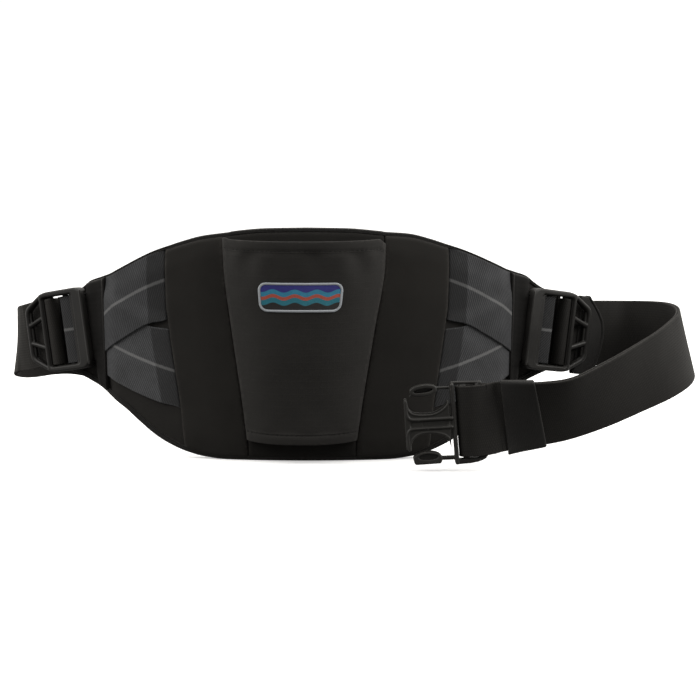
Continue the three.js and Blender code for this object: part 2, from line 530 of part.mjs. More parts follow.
// Loop of the strap's end around the bars of a clasp, in a and c, from the
// free fold round to the load layer.
const LOOP_SHOWN = [
  { a: 61.5, c: -2.6 }, { a: 57, c: -3.8 }, { a: 41.5, c: -3.6 },
  { a: 38.8, c: -2.9 }, { a: 37.7, c: -1.2 }, { a: 37.7, c: 1.2 }, { a: 38.7, c: 2.9 },
  { a: 41.2, c: 4.8 }, { a: 45.5, c: 6.2 }, { a: 50, c: 5.9 }, { a: 55, c: 4.4 }, { a: 59.5, c: 2.7 },
];
const LOOP_HIDDEN = [
  { a: 61.5, c: -1.8 }, { a: 57, c: -3.0 }, { a: 53, c: -3.0 },
  { a: 50.9, c: -2.3 }, { a: 49.9, c: -0.9 }, { a: 49.9, c: 0.9 }, { a: 50.9, c: 2.3 },
  { a: 53, c: 3.0 }, { a: 57, c: 3.0 },
];
function loopStations(frame, rows) {
  return rows.map((p, i) => {
    const a = rows[Math.max(0, i - 1)], b = rows[Math.min(rows.length - 1, i + 1)];
    const len = Math.hypot(b.a - a.a, b.c - a.c), da = (b.a - a.a) / len, dc = (b.c - a.c) / len;
    return {
      c: frame.o.clone().addScaledVector(frame.a, p.a).addScaledVector(frame.c, p.c),
      w: frame.b, n: frame.c.clone().multiplyScalar(da).addScaledVector(frame.a, -dc),
    };
  });
}

// Each strap: fold, clasp loop, load layer, buckle, tail layer.
function beltStrap(name, label, list, frame, rows, tailEnd) {
  const load = list.slice().reverse().map(flip);
  const tail = list.filter((q) => q.t <= tailEnd).map((q) => shifted(q, LAYER));
  add(name, webbing([...loopStations(frame, rows), ...load, ...wrapStations(buckleFrame(label)), ...tail], WEB_W, WEB), WEBBING);
}
beltStrap('strap_right', 'right', rightRoute, { o: claspO, a: claspA, b: claspB, c: claspC }, LOOP_SHOWN, TAIL_RIGHT_END);

const leftEnd = leftRoute[leftRoute.length - 1];
const maleA = leftEnd.d.clone().negate();
const maleB = leftEnd.w.clone().addScaledVector(maleA, -leftEnd.w.dot(maleA)).normalize();
const maleC = new THREE.Vector3().crossVectors(maleB, maleA);
const maleO = leftEnd.c.clone().addScaledVector(maleA, -65);
beltStrap('strap_left', 'left', leftRoute, { o: maleO, a: maleA, b: maleB, c: maleC }, LOOP_HIDDEN, TAIL_LEFT_END);

// ------------------------------------------------------------------ keepers

// Loop of the keeper around two strap layers, as w and n, with round corners.
function keeperLoop(halfW, n0, n1, grow) {
  const r = 0.5 + grow, hw = halfW + grow, a0 = n0 - grow, a1 = n1 + grow, pts = [];
  for (const [cw, cn, from] of [[hw - r, a1 - r, 0], [-hw + r, a1 - r, 90], [-hw + r, a0 + r, 180], [hw - r, a0 + r, 270]]) {
    for (const k of [0, 45, 90]) pts.push({ w: cw + r * Math.cos((from + k) * DEG), n: cn + r * Math.sin((from + k) * DEG) });
    if (from === 0 || from === 180) for (const k of [0.5]) pts.push({ w: mix(cw, -cw, k), n: cn + (from ? -r : r) });
  }
  return pts;
}
const INNER_HALF = WEB_W / 2 + GAP;
{
  const under = -WEB / 2 - 2 * GAP, over = LAYER + WEB / 2 + 2 * GAP;
  const inner = keeperLoop(INNER_HALF, under, over, 0), outer = keeperLoop(INNER_HALF, under, over, KEEPER_T);
  add('keeper_front', wall(inner.length, 6, (u, v, side) => {
    const k = Math.round(u * inner.length) % inner.length, p = (side ? outer : inner)[k], r = p.w / (WEB_W / 2);
    const q = rightStation(mix(KEEPER_FRONT.from + KEEPER_FRONT.leadFrom * r, KEEPER_FRONT.to + KEEPER_FRONT.leadTo * r, v) / ROUTE_STEPS);
    return q.c.clone().addScaledVector(q.w, p.w).addScaledVector(q.n, p.n);
  }, true, (i) => i === 2 || i === 3), WEBBING);
  const f = buckleFrame('right'), low0 = -1.25 - WEB / 2 - GAP, high0 = 0.55 + WEB / 2 + GAP;
  const inR = keeperLoop(KEEPER_RIGHT.half, low0, high0, 0), outR = keeperLoop(KEEPER_RIGHT.half, low0, high0, KEEPER_T);
  add('keeper_right', wall(inR.length, 4, (u, v, side) => {
    const k = Math.round(u * inR.length) % inR.length, p = (side ? outR : inR)[k];
    const reach = at(KEEPER_CURVE, 'w', 'reach', p.w);
    return onBuckle(f, mix(KEEPER_RIGHT.in, reach, v), p.w - KEEPER_RIGHT.drop, p.n);
  }, true), WEBBING);
}

// ------------------------------------------------------------------- clasps

// The half that shows: two plates either side of the mouth, a cross bar, side
// rings that the prongs click into, and two bars for the strap.
{
  const plates = [[PLATE_IN, PLATE_OUT], [-PLATE_OUT, -PLATE_IN]].map(([z0, z1]) => {
    let p = prism(rect(0, 34, -18.5, 18.5), z0, z1);
    for (const k of [-1, 1]) p = p.subtract(prism(oval(17.6, k * 20.6, 14.2, 13.6, 24), z0 - 1, z1 + 1));
    return p;
  });
  const parts = [
    ...plates,
    prism(rect(33.2, 36.4, -CLASP_HALF, CLASP_HALF), -PLATE_OUT, PLATE_OUT),
    prism(rect(39.6, 44.6, -26, 26), -2.0, 2.0),
    prism(rect(50.6, 54.6, -26, 26), -2.4, 2.4),
  ];
  for (const k of [-1, 1]) {
    const m = (list) => list.map(([a, b]) => [a, b * k]);
    const rb = k > 0 ? 24.1 : -22.8;
    const ring = prism(oval(14.9, rb, 9.6, 4.0, 20), -4.2, 4.2).subtract(prism(oval(14.9, rb, 7.3, 2.2, 20), -5, 5));
    parts.push(ring,
      prism(m(rect(0, 3.4, 16.4, 18.5)), -PLATE_OUT, PLATE_OUT),
      prism(m(rect(23.5, 34, 22.8, 25.0)), -2.5, 2.5),
      prism(m(rect(36, 55.6, 25.45, 28.0)), -3.2, 3.2));
  }
  const basis = new THREE.Matrix4().makeBasis(claspA, claspB, claspC).setPosition(claspO);
  add('female_clasp', shape(join(parts)), PLASTIC, basis);
}

// The half behind the panel: a base with a bar for the strap and three prongs.
{
  const parts = [
    prism(rect(30, 45.5, -28, 28), -4.5, 4.5),
    prism(rect(53, 57, -28, 28), -1.9, 1.9),
    prism(rect(6, 31, -3.5, 3.5), -2.2, 2.2),
  ];
  for (const k of [-1, 1]) {
    const m = (list) => list.map(([a, b]) => [a, b * k]);
    parts.push(prism(m(rect(44, 57, 25.5, 28)), -1.9, 1.9),
      prism(m([[31, 12], [31, 19], [12, 20.5], [10, 23.5], [2, 18.5], [2, 15.5], [16, 14]]), -2.2, 2.2));
  }
  const basis = new THREE.Matrix4().makeBasis(maleA, maleB, new THREE.Vector3().crossVectors(maleA, maleB)).setPosition(maleO);
  add('male_clasp', shape(join(parts)), PLASTIC, basis);
}

// The origin is the middle of the flat lower edge that the belt stands on.
const standing = new THREE.Group();
belt.position.y = -(INNER_Y - PAD_T / 2);
standing.add(belt);
standing.updateMatrixWorld(true);
export default standing;
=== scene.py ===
import json
import math

import bpy
import numpy as np
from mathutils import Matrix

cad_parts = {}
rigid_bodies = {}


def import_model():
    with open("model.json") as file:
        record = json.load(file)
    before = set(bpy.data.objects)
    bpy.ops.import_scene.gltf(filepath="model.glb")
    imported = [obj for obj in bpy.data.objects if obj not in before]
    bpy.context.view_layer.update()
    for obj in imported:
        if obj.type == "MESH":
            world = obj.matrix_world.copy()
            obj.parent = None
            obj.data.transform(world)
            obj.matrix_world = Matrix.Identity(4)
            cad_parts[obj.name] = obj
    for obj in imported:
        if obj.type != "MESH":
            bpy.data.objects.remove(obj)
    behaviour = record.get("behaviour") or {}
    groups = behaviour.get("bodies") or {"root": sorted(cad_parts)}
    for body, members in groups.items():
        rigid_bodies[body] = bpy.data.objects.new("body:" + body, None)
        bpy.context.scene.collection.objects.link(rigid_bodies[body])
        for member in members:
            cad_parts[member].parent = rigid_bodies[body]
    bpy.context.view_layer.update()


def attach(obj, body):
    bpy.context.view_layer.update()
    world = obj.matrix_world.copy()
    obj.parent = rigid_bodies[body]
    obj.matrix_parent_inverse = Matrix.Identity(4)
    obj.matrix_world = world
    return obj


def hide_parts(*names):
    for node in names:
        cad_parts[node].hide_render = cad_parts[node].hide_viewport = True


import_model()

# ------------------------------------------------------------------ dimensions
# Millimetres, in the pattern of the belt: s runs along the panel's inner face,
# z is the height, n the distance outwards. SHIFT puts the panel over the origin.

SHIFT_Y = -7.5
GAP, WEB, WEB_W = 0.3, 1.5, 50.0
BEND_RADIUS, BEND_HALF, INNER_Y, TIP = 272.0, 156.0, 12.0, 206.0
PAD_T, FACE_T = 9.0, 2.3
TAPE_TOP_W, TAPE_LOW_W, TAPE_WING_W = 3.0, 2.6, 5.0
SLEEVE_BASE, SLEEVE_T, SLEEVE_DIP = PAD_T + GAP + FACE_T + GAP, 1.4, 1.4
WING_T, LAYER = 1.5, 1.8

OUTLINE = dict(
    s=(0, 28, 57, 73, 88, 101, 112, 124, 136, 149, 160, 172, 180, 190, 200, 206),
    low=(0, 0, 0, 1.4, 4.6, 9.5, 15.4, 23.7, 32.5, 39.9, 44.8, 49.7, 52.6, 55.6, 58.4, 60.8),
    high=(166.6, 166.1, 163.4, 161.7, 157.9, 153.7, 150.0, 145.1, 139.7, 134.2, 131.4, 128.0, 122.8, 117.5, 115.0, 113.8),
)
SKEW_IN, SKEW_OUT = 0.7, 1.1
PADDING = dict(s=(0, 140, 167, 206), back=(0, 0, -3.5, -3.5), front=(PAD_T, PAD_T, 1.0, 1.0))
SEAM = dict(z=(0, 20, 36, 64, 93, 112, 167), s=(87.5, 88.6, 89.9, 94.0, 98.2, 100.4, 101.6))
SLEEVE = dict(
    z=(15.6, 45, 96, 140, 159.5),
    mid=(-3.2, -2.9, -2.3, -1.4, -1.6),
    half=(37.8, 41.6, 49.2, 55.2, 55.9),
    bulge=(13.0, 14.5, 18.5, 22.0, 22.5),
)
WING_UPPER = dict(
    k=(0, 1, 2, 3, 4),
    s_low=(100.2, 115.5, 127.0, 139.0, 153.0),
    z_low=(100.8, 95.9, 89.6, 82.6, 74.6),
    s_top=(102.0, 117.0, 130.0, 142.0, 154.6),
    z_top=(152.0, 152.0, 152.0, 152.0, 152.0),
)
WING_LOWER = dict(
    k=(0, 1, 2, 3, 4),
    s_low=(90.3, 108.0, 124.0, 139.0, 152.6),
    z_low=(35.6, 40.4, 45.6, 51.4, 56.6),
    s_top=(98.4, 112.0, 126.0, 140.0, 153.6),
    z_top=(93.2, 94.9, 99.6, 104.8, 110.0),
)
CAP_START, CAP_GAP, BK_LEVEL = 154.3, 0.6, 5.6

BUCKLE = dict(
    right=dict(x=161.2, y=57.9, z=91.2, yaw=33, droop=8.0),
    left=dict(x=-162.3, y=58.3, z=91.9, yaw=33, droop=9.3),
)
BK = dict(start=-3.0, length=56.8, half=30.2, chamfer=38.0, rim=19.4, slot=10.3, grip=37.35)
# Webbing round the centre bar and round the anchor bar, as u and n.
WRAP = dict(
    u=(52, 38, 31.0, 29.8, 29.4, 29.5, 30.6, 32.8, 34.6, 35.9, 36.3, 36.3, 36.7, 37.9, 52),
    n=(-1.25, -1.25, -1.25, -0.85, 0.3, 4.0, 6.2, 7.1, 6.8, 5.7, 4.2, 2.2, 1.0, 0.55, 0.55),
)
ANCHOR = dict(
    u=(-0.4, 6.5, 10.5, 14.0, 20.2, 21.6, 22.0, 22.0, 21.6, 20.2, -0.4),
    n=(2.6, 2.6, 3.6, 4.6, 4.8, 4.4, 3.0, 1.5, 0.3, -0.1, -0.1),
)
ROUTE_RIGHT = dict(
    top_x=(227.4, 244.5, 262.7, 273.6, 276.3, 271.9, 262.4, 250.9, 230.2, 207.2, 181.3, 160.9, 140.8, 130.9),
    top_y=(102.7, 112.0, 102.9, 85.1, 64.6, 44.7, 26.8, 10.4, -11.1, -30.3, -46.2, -48.2, -43.2, -37.6),
    top_z=(108.0, 107.0, 107.5, 107.4, 105.6, 102.2, 97.6, 92.4, 83.6, 74.0, 64.9, 62.7, 61.7, 61.3),
    low_x=(222.7, 243.1, 263.4, 280.0, 287.7, 286.0, 278.3, 264.6, 239.0, 212.6, 185.0, 165.7, 145.8, 135.6),
    low_y=(99.4, 104.6, 100.6, 88.6, 69.6, 49.2, 30.5, 16.2, 1.2, -12.9, -23.8, -29.0, -33.2, -37.2),
    low_z=(58.0, 57.5, 57.5, 57.7, 57.0, 54.4, 50.4, 44.7, 35.9, 27.6, 20.3, 16.8, 13.9, 12.0),
)
ROUTE_LEFT = dict(
    top_x=(-216.9, -220.5, -222.4, -223.6, -222.4, -218.2, -212.3, -199.3, -183.8, -167.6, -143.3, -119.0, -86.7),
    top_y=(95.0, 100.6, 107.4, 114.6, 122.9, 130.8, 136.3, 141.7, 143.2, 143.1, 142.4, 142.9, 143.8),
    top_z=(105.3, 104.0, 102.6, 99.6, 96.6, 94.8, 94.1, 93.6, 91.2, 87.6, 81.7, 73.9, 63.36),
    low_x=(-211.9, -217.9, -223.6, -226.8, -226.8, -224.4, -220.8, -209.9, -197.0, -180.7, -157.3, -134.0, -101.9),
    low_y=(91.8, 96.8, 103.1, 110.4, 118.9, 126.8, 134.4, 147.8, 156.6, 158.9, 155.3, 149.6, 146.1),
    low_z=(55.7, 54.5, 52.9, 49.8, 46.8, 45.0, 44.4, 45.0, 44.9, 42.2, 35.5, 26.6, 15.86),
)
TAIL_END = dict(right=0.94, left=0.62)
KEEPER_T, KEEPER_FRONT = 1.1, dict(start=40.77, end=46.36, lead_start=0.54, lead_end=0.23)
KEEPER_RIGHT = dict(start=50.0, half=29.0, drop=0.9)
KEEPER_CURVE = dict(w=(-29, -24, -16, -8, 1, 10, 17.5, 25, 29), reach=(66, 71, 73.6, 75.3, 76.3, 74.8, 70.4, 63.4, 59))
CLASP = dict(x=103.0, y=-37.2, z=33.6, tilt=4.0, bar=35.0)
LOOP_SHOWN = dict(
    a=(61.5, 57, 41.5, 38.8, 37.7, 37.7, 38.7, 41.2, 45.5, 50, 55, 59.5),
    c=(-2.6, -3.8, -3.6, -2.9, -1.2, 1.2, 2.9, 4.8, 6.2, 5.9, 4.4, 2.7),
)
LOOP_HIDDEN = dict(a=(61.5, 57, 53, 50.9, 49.9, 49.9, 50.9, 53, 57), c=(-1.8, -3.0, -3.0, -2.3, -0.9, 0.9, 2.3, 3.0, 3.0))

# --------------------------------------------------------------------- helpers


def at(rows, key, name, x):
    """Smooth value from a table, flat where its rows agree."""
    xs, ys = np.array(rows[key], float), np.array(rows[name], float)
    slope = np.diff(ys) / np.diff(xs)
    a, b = slope[:-1], slope[1:]
    both = np.where(a * b > 0, 2 * a * b / np.where(a * b > 0, a + b, 1), 0)
    tangent = np.concatenate([slope[:1], both, slope[-1:]])
    x = np.clip(np.asarray(x, float), xs[0], xs[-1])
    i = np.clip(np.searchsorted(xs, x) - 1, 0, len(xs) - 2)
    h = xs[i + 1] - xs[i]
    t = (x - xs[i]) / h
    return (
        (2 * t**3 - 3 * t**2 + 1) * ys[i]
        + (t**3 - 2 * t**2 + t) * h * tangent[i]
        + (3 * t**2 - 2 * t**3) * ys[i + 1]
        + (t**3 - t**2) * h * tangent[i + 1]
    )


def step(a, b, x):
    t = np.clip((np.asarray(x, float) - a) / (b - a), 0, 1)
    return t * t * (3 - 2 * t)


def mix(a, b, t):
    return a + (b - a) * t


def bell(x, width):
    return np.exp(-((np.asarray(x, float) / width) ** 2))


def round_edge(d, r):
    """Rises from 0 at an edge to 1 at distance r, like a rounded corner."""
    return np.sqrt(np.clip(1 - (1 - np.clip(d / r, 0, 1)) ** 2, 0, 1))


def place(s, z, n):
    s, z, n = np.broadcast_arrays(*(np.asarray(q, float) for q in (s, z, n)))
    c = np.clip(s, -BEND_HALF, BEND_HALF)
    a, e = c / BEND_RADIUS, s - c
    return np.stack(
        [
            (BEND_RADIUS + n) * np.sin(a) + e * np.cos(a),
            INNER_Y + BEND_RADIUS - (BEND_RADIUS + n) * np.cos(a) + e * np.sin(a),
            z,
        ],
        -1,
    )


def unit(v):
    return v / np.maximum(np.linalg.norm(v, axis=-1, keepdims=True), 1e-12)


def low(s):
    return at(OUTLINE, "s", "low", np.abs(s))


def high(s):
    skew = SKEW_IN * step(45, 80, np.abs(s)) + SKEW_OUT * step(100, 150, np.abs(s))
    return at(OUTLINE, "s", "high", np.abs(s)) + np.sign(s) * skew


def steep(f, s):
    return np.hypot(1, f(s + 0.5) - f(s - 0.5))


def inward(s, z):
    """Distance from the outline, near enough, in the flat pattern."""
    d = np.minimum((z - low(s)) / steep(low, s), (high(s) - z) / steep(high, s))
    return np.minimum(d, TIP - np.abs(s))


def thin(s, z):
    """How much the binding squeezes the foam, from 0 inside to 1 at the edge."""
    full = (at(PADDING, "s", "front", np.abs(s)) - at(PADDING, "s", "back", np.abs(s))) / PAD_T
    return (1 - step(0, 17, inward(s, z))) * step(0.35, 0.9, full)


def front(s, z):
    return at(PADDING, "s", "front", np.abs(s)) - 1.7 * thin(s, z)


def back(s, z):
    return at(PADDING, "s", "back", np.abs(s)) + 1.5 * thin(s, z)


def tape_low(s):
    return mix(TAPE_LOW_W, TAPE_WING_W, step(70, 105, np.abs(s)))


def face_low(s):
    return low(s) + (tape_low(s) - 0.4) * steep(low, s)


def tape_top(s):
    """The tape laps over the wings a little less than over the centre."""
    return TAPE_TOP_W - 0.7 * step(96, 104, np.abs(s))


def face_high(s):
    return high(s) - (tape_top(s) - 0.4) * steep(high, s)


def seam(z):
    return at(SEAM, "z", "s", z)


def sleeve_edge(z, side):
    return at(SLEEVE, "z", "mid", z) + side * at(SLEEVE, "z", "half", z)


def wander(p, seed, size):
    """Smooth, repeatable unevenness of about +-1 over a field of places."""
    rng = np.random.default_rng(seed)
    total = 0
    for _ in range(9):
        k, phase = rng.normal(size=p.shape[-1]) / size, rng.uniform(0, 6.28)
        total = total + np.sin(p @ k * 2.2 + phase)
    return total / 4.5


EDGE = np.array([0, 0.12, 0.35, 0.7, 1.15, 1.8, 2.7, 4.0])


def spread(n):
    """Columns close together at both edges: place = first + second * width."""
    k = np.linspace(0, 1, n + 2)[1:-1]
    a = np.concatenate([EDGE, EDGE[-1] * (1 - 2 * k), -EDGE[::-1]])
    b = np.concatenate([EDGE * 0, k, EDGE * 0 + 1])
    return a, b


# ----------------------------------------------------------------- mesh making


def make(name, verts, faces, mat, uv=None, attrs=None, slot=None, replaces=(), smooth=True):
    """A piece from points in millimetres, with the weave's coordinates at its corners."""
    verts = np.asarray(verts, float)
    v = (verts + np.array([0, SHIFT_Y, 0])) * 0.001
    faces = np.asarray(faces)
    # faces turned to look outwards
    p = v[faces]
    vol = np.einsum("ij,ij->i", p[:, 0], np.cross(p[:, 1], p[:, 2])).sum()
    if faces.shape[1] == 4:
        vol += np.einsum("ij,ij->i", p[:, 0], np.cross(p[:, 2], p[:, 3])).sum()
    if vol < 0:
        faces = faces[:, ::-1]
        uv = None if uv is None else uv[:, ::-1]
    me = bpy.data.meshes.new(name)
    n, k = faces.shape
    me.vertices.add(len(v))
    me.vertices.foreach_set("co", v.ravel().astype(np.float32))
    me.loops.add(n * k)
    me.loops.foreach_set("vertex_index", faces.ravel().astype(np.int32))
    me.polygons.add(n)
    me.polygons.foreach_set("loop_start", (np.arange(n) * k).astype(np.int32))
    me.polygons.foreach_set("loop_total", np.full(n, k, np.int32))
    if uv is not None:
        layer = me.uv_layers.new(name="Weave")
        layer.uv.foreach_set("vector", (np.asarray(uv, float).reshape(-1, 2) * 0.01).ravel().astype(np.float32))
    for key, values in (attrs or {}).items():
        me.attributes.new(key, "FLOAT", "POINT").data.foreach_set("value", np.asarray(values, np.float32).ravel())
    me.update(calc_edges=True)
    me.validate()
    if smooth:
        me.shade_smooth()
    ob = bpy.data.objects.new(name, me)
    bpy.context.scene.collection.objects.link(ob)
    me.materials.append(mat)
    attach(ob, "root")
    if replaces:
        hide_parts(*replaces)
    return ob


def shell_data(f, b, uv, ring=False):
    """Closed wall between two grids of points. uv holds one more row in a ring."""
    nu, nv = f.shape[:2]
    pts = np.concatenate([f.reshape(-1, 3), b.reshape(-1, 3)])
    cols = nu if ring else nu - 1
    i, j = np.meshgrid(np.arange(cols), np.arange(nv - 1), indexing="ij")
    i, j = i.ravel(), j.ravel()

    def vid(i, j, side):
        return side * nu * nv + (i % nu) * nv + j

    def quads(corners, places):
        q = np.stack([vid(a, c, s) for a, c, s in corners], -1)
        t = np.stack([uv[a, c] for a, c in places], 1)
        return q, t

    parts = [
        quads([(i, j, 0), (i + 1, j, 0), (i + 1, j + 1, 0), (i, j + 1, 0)], [(i, j), (i + 1, j), (i + 1, j + 1), (i, j + 1)]),
        quads([(i, j, 1), (i, j + 1, 1), (i + 1, j + 1, 1), (i + 1, j, 1)], [(i, j), (i, j + 1), (i + 1, j + 1), (i + 1, j)]),
    ]
    k = np.arange(cols)
    z, e = k * 0, k * 0 + nv - 1
    parts += [
        quads([(k, z, 0), (k, z, 1), (k + 1, z, 1), (k + 1, z, 0)], [(k, z), (k, z), (k + 1, z), (k + 1, z)]),
        quads([(k, e, 0), (k + 1, e, 0), (k + 1, e, 1), (k, e, 1)], [(k, e), (k + 1, e), (k + 1, e), (k, e)]),
    ]
    if not ring:
        k = np.arange(nv - 1)
        z, e = k * 0, k * 0 + nu - 1
        parts += [
            quads([(z, k, 0), (z, k + 1, 0), (z, k + 1, 1), (z, k, 1)], [(z, k), (z, k + 1), (z, k + 1), (z, k)]),
            quads([(e, k, 0), (e, k, 1), (e, k + 1, 1), (e, k + 1, 0)], [(e, k), (e, k), (e, k + 1), (e, k + 1)]),
        ]
    return pts, np.concatenate([q for q, _ in parts]), np.concatenate([t for _, t in parts])


def shell(name, f, b, uv, mat, ring=False, attrs=None, **more):
    pts, quads, corner = shell_data(f, b, uv, ring)
    both = {k: np.concatenate([np.broadcast_to(v, f.shape[:2]).ravel()] * 2) for k, v in (attrs or {}).items()}
    return make(name, pts, quads, mat, corner, attrs=both, **more)


def joined(parts):
    """Several (points, quads, uv) as one."""
    pts, quads, uvs, n = [], [], [], 0
    for p, q, t in parts:
        pts.append(p)
        quads.append(q + n)
        uvs.append(t)
        n += len(p)
    return np.concatenate(pts), np.concatenate(quads), np.concatenate(uvs)


def stitch_data(path, up, length=2.7, gap=0.9, width=0.5, height=0.28, sink=0.12, start=0.5):
    """Thread along a path: one small rounded stitch after another."""
    seg = np.linalg.norm(np.diff(path, axis=0), axis=1)
    run = np.concatenate([[0], np.cumsum(seg)])
    pitch = length + gap
    count = max(1, int((run[-1] - start) / pitch))
    mids = start + (np.arange(count) + 0.5) * (run[-1] - start) / count - start * 0.5
    here = np.stack([np.interp(mids, run, path[:, k]) for k in range(3)], -1)
    ahead = np.stack([np.interp(mids + 0.6, run, path[:, k]) for k in range(3)], -1)
    behind = np.stack([np.interp(mids - 0.6, run, path[:, k]) for k in range(3)], -1)
    x = unit(ahead - behind)
    z = unit(np.stack([np.interp(mids, run, up[:, k]) for k in range(3)], -1))
    y = unit(np.cross(z, x))
    z = np.cross(x, y)
    rings, sides = 7, 8
    t = np.linspace(-1, 1, rings)
    fat = np.sqrt(np.clip(1 - (t * 0.985) ** 4, 0.03, 1))
    lift = -sink + height * (1 - t**2) ** 0.5 * 0.75
    ang = np.arange(sides) * 2 * np.pi / sides
    lx = np.repeat(t * length / 2, sides)
    ly = (fat[:, None] * np.cos(ang) * width / 2).ravel()
    lz = (lift[:, None] + fat[:, None] * np.sin(ang) * height / 2).ravel()
    pts = here[:, None] + x[:, None] * lx[None, :, None] + y[:, None] * ly[None, :, None] + z[:, None] * lz[None, :, None]
    r, a = np.meshgrid(np.arange(rings - 1), np.arange(sides), indexing="ij")
    r, a = r.ravel(), a.ravel()
    b = (a + 1) % sides
    q = np.stack([r * sides + a, r * sides + b, (r + 1) * sides + b, (r + 1) * sides + a], -1)
    ends = []
    for base in (0, (rings - 1) * sides):
        cap = [[0, 1, 2, 3], [0, 3, 4, 7], [7, 4, 5, 6]]
        ends += [[base + c for c in (f[::-1] if base == 0 else f)] for f in cap]
    q = np.concatenate([q, np.array(ends)])
    local = np.stack([np.repeat(t * length, sides), np.tile(ang, rings)], -1)
    n = rings * sides
    faces = (q[None] + np.arange(count)[:, None, None] * n).reshape(-1, 4)
    uv = np.broadcast_to(local[q][None], (count,) + local[q].shape).reshape(-1, 4, 2)
    return pts.reshape(-1, 3), faces, uv


# -------------------------------------------------------- solids from distances


def sd_poly(x, y, pts):
    d = np.full(x.shape, 1e9)
    inside = np.zeros(x.shape, bool)
    n = len(pts)
    for i in range(n):
        (ax, ay), (bx, by) = pts[i], pts[(i + 1) % n]
        ex, ey = bx - ax, by - ay
        wx, wy = x - ax, y - ay
        t = np.clip((wx * ex + wy * ey) / (ex * ex + ey * ey), 0, 1)
        d = np.minimum(d, (wx - ex * t) ** 2 + (wy - ey * t) ** 2)
        cross = ((ay > y) != (by > y)) & (x < (bx - ax) * (y - ay) / np.where(by == ay, 1e-9, by - ay) + ax)
        inside ^= cross
    return np.where(inside, -1, 1) * np.sqrt(d)


def sd_box2(x, y, x0, x1, y0, y1, r=0.0):
    dx = np.abs(x - (x0 + x1) / 2) - (x1 - x0) / 2 + r
    dy = np.abs(y - (y0 + y1) / 2) - (y1 - y0) / 2 + r
    return np.minimum(np.maximum(dx, dy), 0) + np.hypot(np.maximum(dx, 0), np.maximum(dy, 0)) - r


def sd_oval(x, y, cx, cy, rx, ry, turn=0.0):
    c, s = math.cos(math.radians(turn)), math.sin(math.radians(turn))
    px, py = (x - cx) * c + (y - cy) * s, -(x - cx) * s + (y - cy) * c
    k = np.hypot(px / rx, py / ry)
    g = np.hypot(px / rx**2, py / ry**2)
    return np.where(g > 1e-6, k * (k - 1) / np.maximum(g, 1e-6), -min(rx, ry))


def slab(d2, z, z0, z1, r=0.6):
    """A flat shape d2 made into a plate from z0 to z1 with rounded edges."""
    dx, dz = d2 + r, np.abs(z - (z0 + z1) / 2) - (z1 - z0) / 2 + r
    return np.minimum(np.maximum(dx, dz), 0) + np.hypot(np.maximum(dx, 0), np.maximum(dz, 0)) - r


def both(a, b, k=0.6):
    h = np.maximum(k - np.abs(a - b), 0) / k
    return np.minimum(a, b) - h * h * k / 4


def less(a, b, k=0.5):
    return -both(-a, b, k)


def rod(x, y, z, p, q, r):
    p, q = np.array(p, float), np.array(q, float)
    e = q - p
    w = np.stack([x - p[0], y - p[1], z - p[2]], -1)
    t = np.clip((w @ e) / (e @ e), 0, 1)
    return np.linalg.norm(w - t[..., None] * e, axis=-1) - r


def surface(f, lo, hi, h):
    """Quads over the zero of a distance function, then moved exactly onto it."""
    axes = [np.arange(a, b + h, h) for a, b in zip(lo, hi)]
    grid = np.meshgrid(*axes, indexing="ij")
    d = f(*grid)
    shape = tuple(n - 1 for n in d.shape)
    acc, num = np.zeros(shape + (3,)), np.zeros(shape)
    edges = []
    for ax in range(3):
        o1, o2 = [k for k in range(3) if k != ax]
        a = np.moveaxis(d, ax, 0)[:-1]
        b = np.moveaxis(d, ax, 0)[1:]
        cross = np.moveaxis((a < 0) != (b < 0), 0, ax)
        t = np.moveaxis(a / np.where(a == b, 1, a - b), 0, ax)
        idx = np.argwhere(cross)
        inner = np.all((idx[:, [o1, o2]] > 0) & (idx[:, [o1, o2]] < np.array(d.shape)[[o1, o2]] - 1), axis=1)
        idx = idx[inner]
        tt = t[tuple(idx.T)]
        pos = idx.astype(float)
        pos[:, ax] += tt
        for d1 in (0, 1):
            for d2 in (0, 1):
                c = idx.copy()
                c[:, o1] -= d1
                c[:, o2] -= d2
                np.add.at(acc, tuple(c.T), pos)
                np.add.at(num, tuple(c.T), 1)
        neg = d[tuple(idx.T)] < 0
        edges.append((ax, o1, o2, idx, neg))
    used = num > 0
    ids = np.full(shape, -1)
    ids[used] = np.arange(used.sum())
    verts = acc[used] / num[used][:, None] * h + np.array(lo)
    quads = []
    for ax, o1, o2, idx, neg in edges:
        ring = []
        for d1, d2 in ((0, 0), (1, 0), (1, 1), (0, 1)):
            c = idx.copy()
            c[:, o1] -= d1
            c[:, o2] -= d2
            ring.append(ids[tuple(c.T)])
        q = np.stack(ring, -1)
        turn = neg if ax != 1 else ~neg
        q[~turn] = q[~turn][:, ::-1]
        quads.append(q)
    quads = np.concatenate(quads)
    for _ in range(5):
        e = 0.02
        here = f(*verts.T)
        g = np.stack([f(*(verts + e * np.eye(3)[k]).T) - f(*(verts - e * np.eye(3)[k]).T) for k in range(3)], -1) / (2 * e)
        move = here[:, None] * g / np.maximum((g**2).sum(-1, keepdims=True), 0.2)
        size = np.linalg.norm(move, axis=1, keepdims=True)
        verts = verts - move * np.minimum(1, 0.3 * h / np.maximum(size, 1e-9))
    return verts, quads


# ------------------------------------------------------------------- materials


